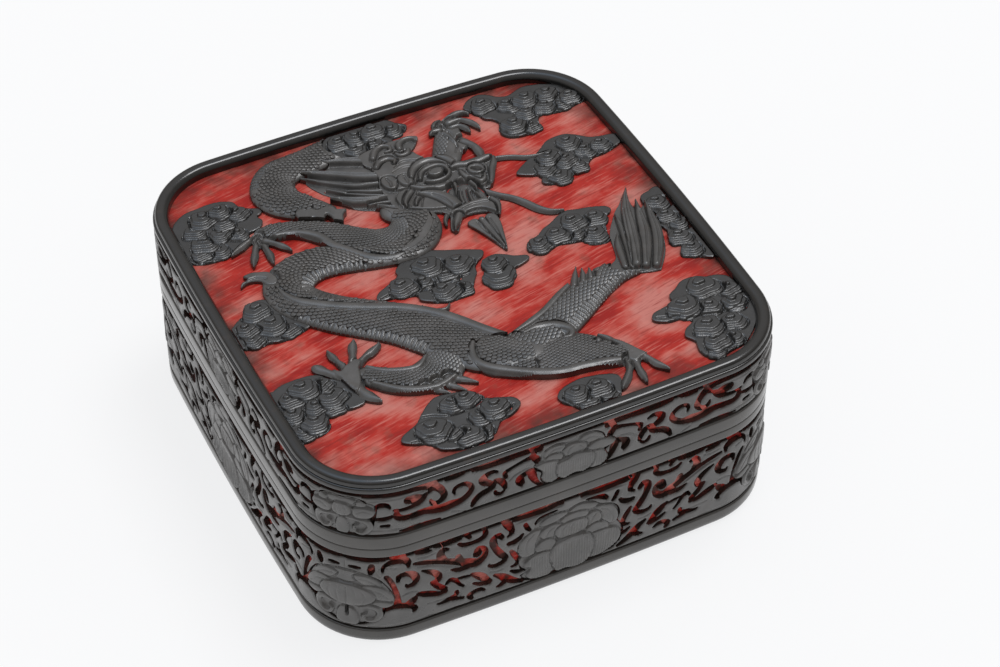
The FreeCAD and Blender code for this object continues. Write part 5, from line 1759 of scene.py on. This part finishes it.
# Clouds.
# Low plates that carry lobes, each lobe a heap of flat steps that show at the front, with a small
# round button over them. A cloud's marks are its outline, its lobes and its cut lines.
cloud_level = 0.0009
cloud_dome = 0.0002
cloud_edge = 0.0005
cloud_spacing = 0.00023
cloud_room = 0.004
cloud_outline_step = 0.0006
cloud_line_step = 0.0008
cloud_line_depth = 0.0006
cloud_marks = {
    "cloud_bottom": (
        "332 1135, 338 1120, 360 1108, 385 1095, 405 1075, 432 1052, 455 1040, 485 1042, 515 1048, 540 1060, "
         "553 1078, 560 1092, 585 1102, 612 1115, 620 1135, 608 1150, 585 1162, 560 1166, 545 1180, "
         "530 1195, 500 1206, 465 1212, 430 1204, 402 1192, 392 1178, 380 1162, 352 1150",
        "408 1122 20, 482 1070 15, 514 1068 14, 562 1120 17, 522 1132 14, 470 1170 17, 506 1178 13, "
         "440 1154 11",
        [
            "395 1083 3, 425 1090 4, 450 1103 4, 490 1108 4, 530 1100 4, 556 1088 3",
            "350 1146 3, 385 1150 4, 430 1164 3",
            "545 1152 3, 575 1148 4, 604 1136 3"]),
    "cloud_lower_left": (
        "118 880, 140 865, 165 855, 200 852, 235 855, 255 865, 265 880, 285 895, 300 915, 302 940, 315 960, "
         "310 985, 285 991, 255 988, 225 985, 218 1000, 213 1020, 190 1034, 160 1036, 118 1030",
        "200 882 17, 240 888 13, 248 930 17, 205 948 13, 160 905 14, 238 966 13, 185 990 16, 150 950 13, "
         "150 1010 13",
        []),
    "cloud_mid_left": (
        "180 600, 190 582, 210 574, 235 576, 250 590, 262 610, 275 640, 290 670, 305 690, 300 705, 275 714, "
         "245 722, 215 722, 190 716, 165 720, 130 708, 118 680, 118 650, 140 630, 160 615",
        "205 602 17, 220 658 18, 160 652 13, 160 692 12, 246 692 13",
        []),
    "cloud_upper_left": (
        "138 250, 160 228, 185 215, 215 212, 245 208, 275 212, 300 225, 308 245, 325 262, 348 275, 350 290, "
         "335 300, 340 320, 325 340, 290 350, 270 380, 245 395, 225 402, 195 405, 165 402, 140 392, 120 370, "
         "118 330, 120 290",
        "215 248 17, 258 240 13, 292 264 14, 252 286 13, 180 285 14, 185 330 17, 230 322 13, 268 338 12, "
         "205 372 14, 160 366 12",
        []),
    "cloud_centre": (
        "472 690, 482 675, 505 662, 530 650, 548 638, 550 622, 568 604, 595 592, 625 587, 655 592, 690 608, "
         "715 618, 745 632, 765 645, 758 662, 738 675, 725 690, 720 708, 705 728, 690 750, 668 765, 640 770, "
         "605 765, 580 752, 562 738, 560 718, 535 712, 505 702, 480 700",
        "620 632 18, 540 672 17, 692 655 17, 622 728 17, 590 682 13, 650 684 13, 666 740 13",
        ["560 716 3, 590 706 4, 640 708 4, 700 706 3", "480 696 3, 505 690 3"]),
    "cloud_centre_small": (
        "722 745, 728 725, 740 705, 745 685, 760 672, 785 670, 805 680, 825 695, 850 705, 852 718, 830 728, "
         "805 735, 795 755, 770 768, 740 765",
        "768 695 15, 764 735 20",
        []),
    "cloud_mid_right": (
        "862 695, 868 672, 885 660, 905 655, 925 640, 950 630, 975 615, 1005 605, 1035 612, 1065 618, "
         "1100 632, 1105 650, 1085 665, 1070 690, 1060 720, 1055 742, 1030 745, 1005 735, 995 718, 970 712, "
         "940 705, 915 708, 890 712",
        "895 682 15, 945 668 15, 1000 642 16, 1055 652 15, 1030 702 16, 988 684 12",
        []),
    "cloud_far_right": (
        "1190 640, 1215 628, 1250 630, 1256 760, 1250 895, 1215 886, 1195 870, 1185 850, 1195 830, 1180 800, "
         "1190 770, 1180 740, 1195 710, 1185 680",
        "1216 668 14, 1212 722 13, 1206 800 15, 1228 760 12, 1212 850 14",
        []),
    "cloud_lower_right": (
        "1012 1035, 1020 1015, 1050 1006, 1078 1000, 1085 975, 1110 960, 1130 945, 1160 942, 1190 955, "
         "1220 962, 1243 985, 1246 1050, 1243 1100, 1222 1140, 1170 1186, 1130 1196, 1095 1202, 1065 1190, "
         "1058 1165, 1064 1135, 1052 1112, 1065 1090, 1090 1075, 1078 1056, 1040 1052",
        "1165 975 20, 1098 1016 20, 1216 1010 14, 1206 1056 15, 1150 1046 14, 1116 1098 18, 1172 1110 15, "
         "1105 1150 16, 1146 1160 13, 1092 1184 11",
        ["1080 1062 3, 1120 1066 4, 1165 1078 4, 1230 1084 3", "1022 1030 3, 1050 1040 3, 1072 1046 3"]),
    "cloud_bottom_right": (
        "700 1160, 715 1142, 745 1132, 775 1128, 800 1132, 825 1138, 850 1150, 858 1170, 845 1190, 830 1216, "
         "800 1230, 765 1230, 735 1220, 720 1195, 705 1180",
        "745 1162 14, 796 1164 15, 756 1200 13, 802 1202 12",
        []),
    "cloud_upper_right": (
        "962 432, 978 415, 1010 395, 1050 375, 1085 350, 1130 345, 1160 360, 1190 385, 1250 400, 1250 430, "
         "1200 450, 1160 455, 1140 470, 1120 490, 1090 490, 1080 505, 1050 508, 1010 495, 1005 480, "
         "1015 460, 990 450",
        "1060 402 15, 1126 374 15, 1030 440 14, 1092 432 15, 1150 420 14, 1196 414 13, 1050 480 15, "
         "1108 468 12",
        []),
    "cloud_top_right": (
        "955 150, 965 130, 985 118, 1010 112, 1035 125, 1050 140, 1075 148, 1100 140, 1125 132, 1160 138, "
         "1190 150, 1220 165, 1250 200, 1250 240, 1215 252, 1185 260, 1150 257, 1120 252, 1105 265, "
         "1098 285, 1075 302, 1045 305, 1015 298, 998 280, 1000 255, 1010 235, 1000 215, 985 205, 975 180",
        "1000 150 16, 1058 178 15, 1110 175 16, 1168 178 15, 1215 212 14, 1090 222 14, 1142 222 14, "
         "1040 252 17, 1074 280 12, 1182 232 12",
        []),
    "cloud_top": (
        "572 150, 580 120, 600 102, 630 92, 665 88, 700 86, 735 88, 762 102, 778 122, 798 140, 790 158, "
         "765 165, 745 178, 735 195, 700 205, 660 205, 625 200, 590 185",
        "620 128 16, 665 128 15, 712 124 16, 756 142 13, 694 172 14, 644 172 14",
        [])}

lobe_steps = (
    (-1.00, 1.62, 0.85, 0.05), (-0.62, 1.62, 1.25, 0.05), (-0.05, 1.40, 1.65, 0.10), (0.22, 0.62, 2.05, 0.45))
lobe_edge = 0.0004
lobe_groove = 0.0007
lobe_slope = 3.0
step_groove = 0.0004
lobe_play = np.random.default_rng(11)


def lobe_outline(x, y, size, spin):
    """A wavy oval, wider along the front than it is deep."""
    turn = np.arange(28) * 2 * math.pi / 28
    reach = size * (1 + 0.09 * np.sin(3 * turn + spin) + 0.05 * np.sin(5 * turn + 2 * spin))
    return np.stack([x + 1.25 * reach * np.cos(turn), y + 0.88 * reach * np.sin(turn)], 1)


def raise_lobe(board, x, y, radius):
    """One lobe of a cloud. Each of its steps has a place towards the back and a size, both in lobe
    radiuses, and a level and a rise in millimetres; the last is the button."""
    lean = lobe_play.uniform(-0.35, 0.35)
    high = lobe_play.uniform(-0.15, 0.15)
    spin = lobe_play.uniform(0, 6.28)
    for step, (back, size, level, rise) in enumerate(lobe_steps):
        outline = lobe_outline(x + back * radius * lean, y + back * radius, size * radius, spin)
        window, inside = area_field(board, outline, 0.0009)
        height = (level + high + rise * rounded(inside, lobe_edge)) / 1000
        lay_over(board, window, inside, height, step_groove if step else lobe_groove, lobe_slope)


def carved_cloud(name):
    """One cloud: a low plate and its lobes, each lobe over the one before it."""
    outline, lobes, lines = cloud_marks[name]
    board = relief_board(name, cloud_spacing, cloud_room)
    plate = eased_outline(lid_marks(outline), cloud_outline_step)
    raise_petal(board, plate, cloud_level, cloud_dome, cloud_edge, 0)
    for x, y, radius in sorted(lid_marks(lobes).tolist(), key=lambda lobe: lobe[1]):
        raise_lobe(board, x, y, radius)
    for line in lines:
        cut_line(board, eased_route(lid_marks(line), cloud_line_step), cloud_line_depth)
    trim(board)
    claim(board)
    relief_piece(name, board)


for name in leg_marks:
    dragon_leg(name)
for name in ("dragon_trunk", "dragon_tail"):
    dragon_body(name)
carved_cloud("cloud_top")
dragon_body("dragon_neck")
for name in cloud_marks:
    if name != "cloud_top":
        carved_cloud(name)
bpy.data.objects.remove(scale)
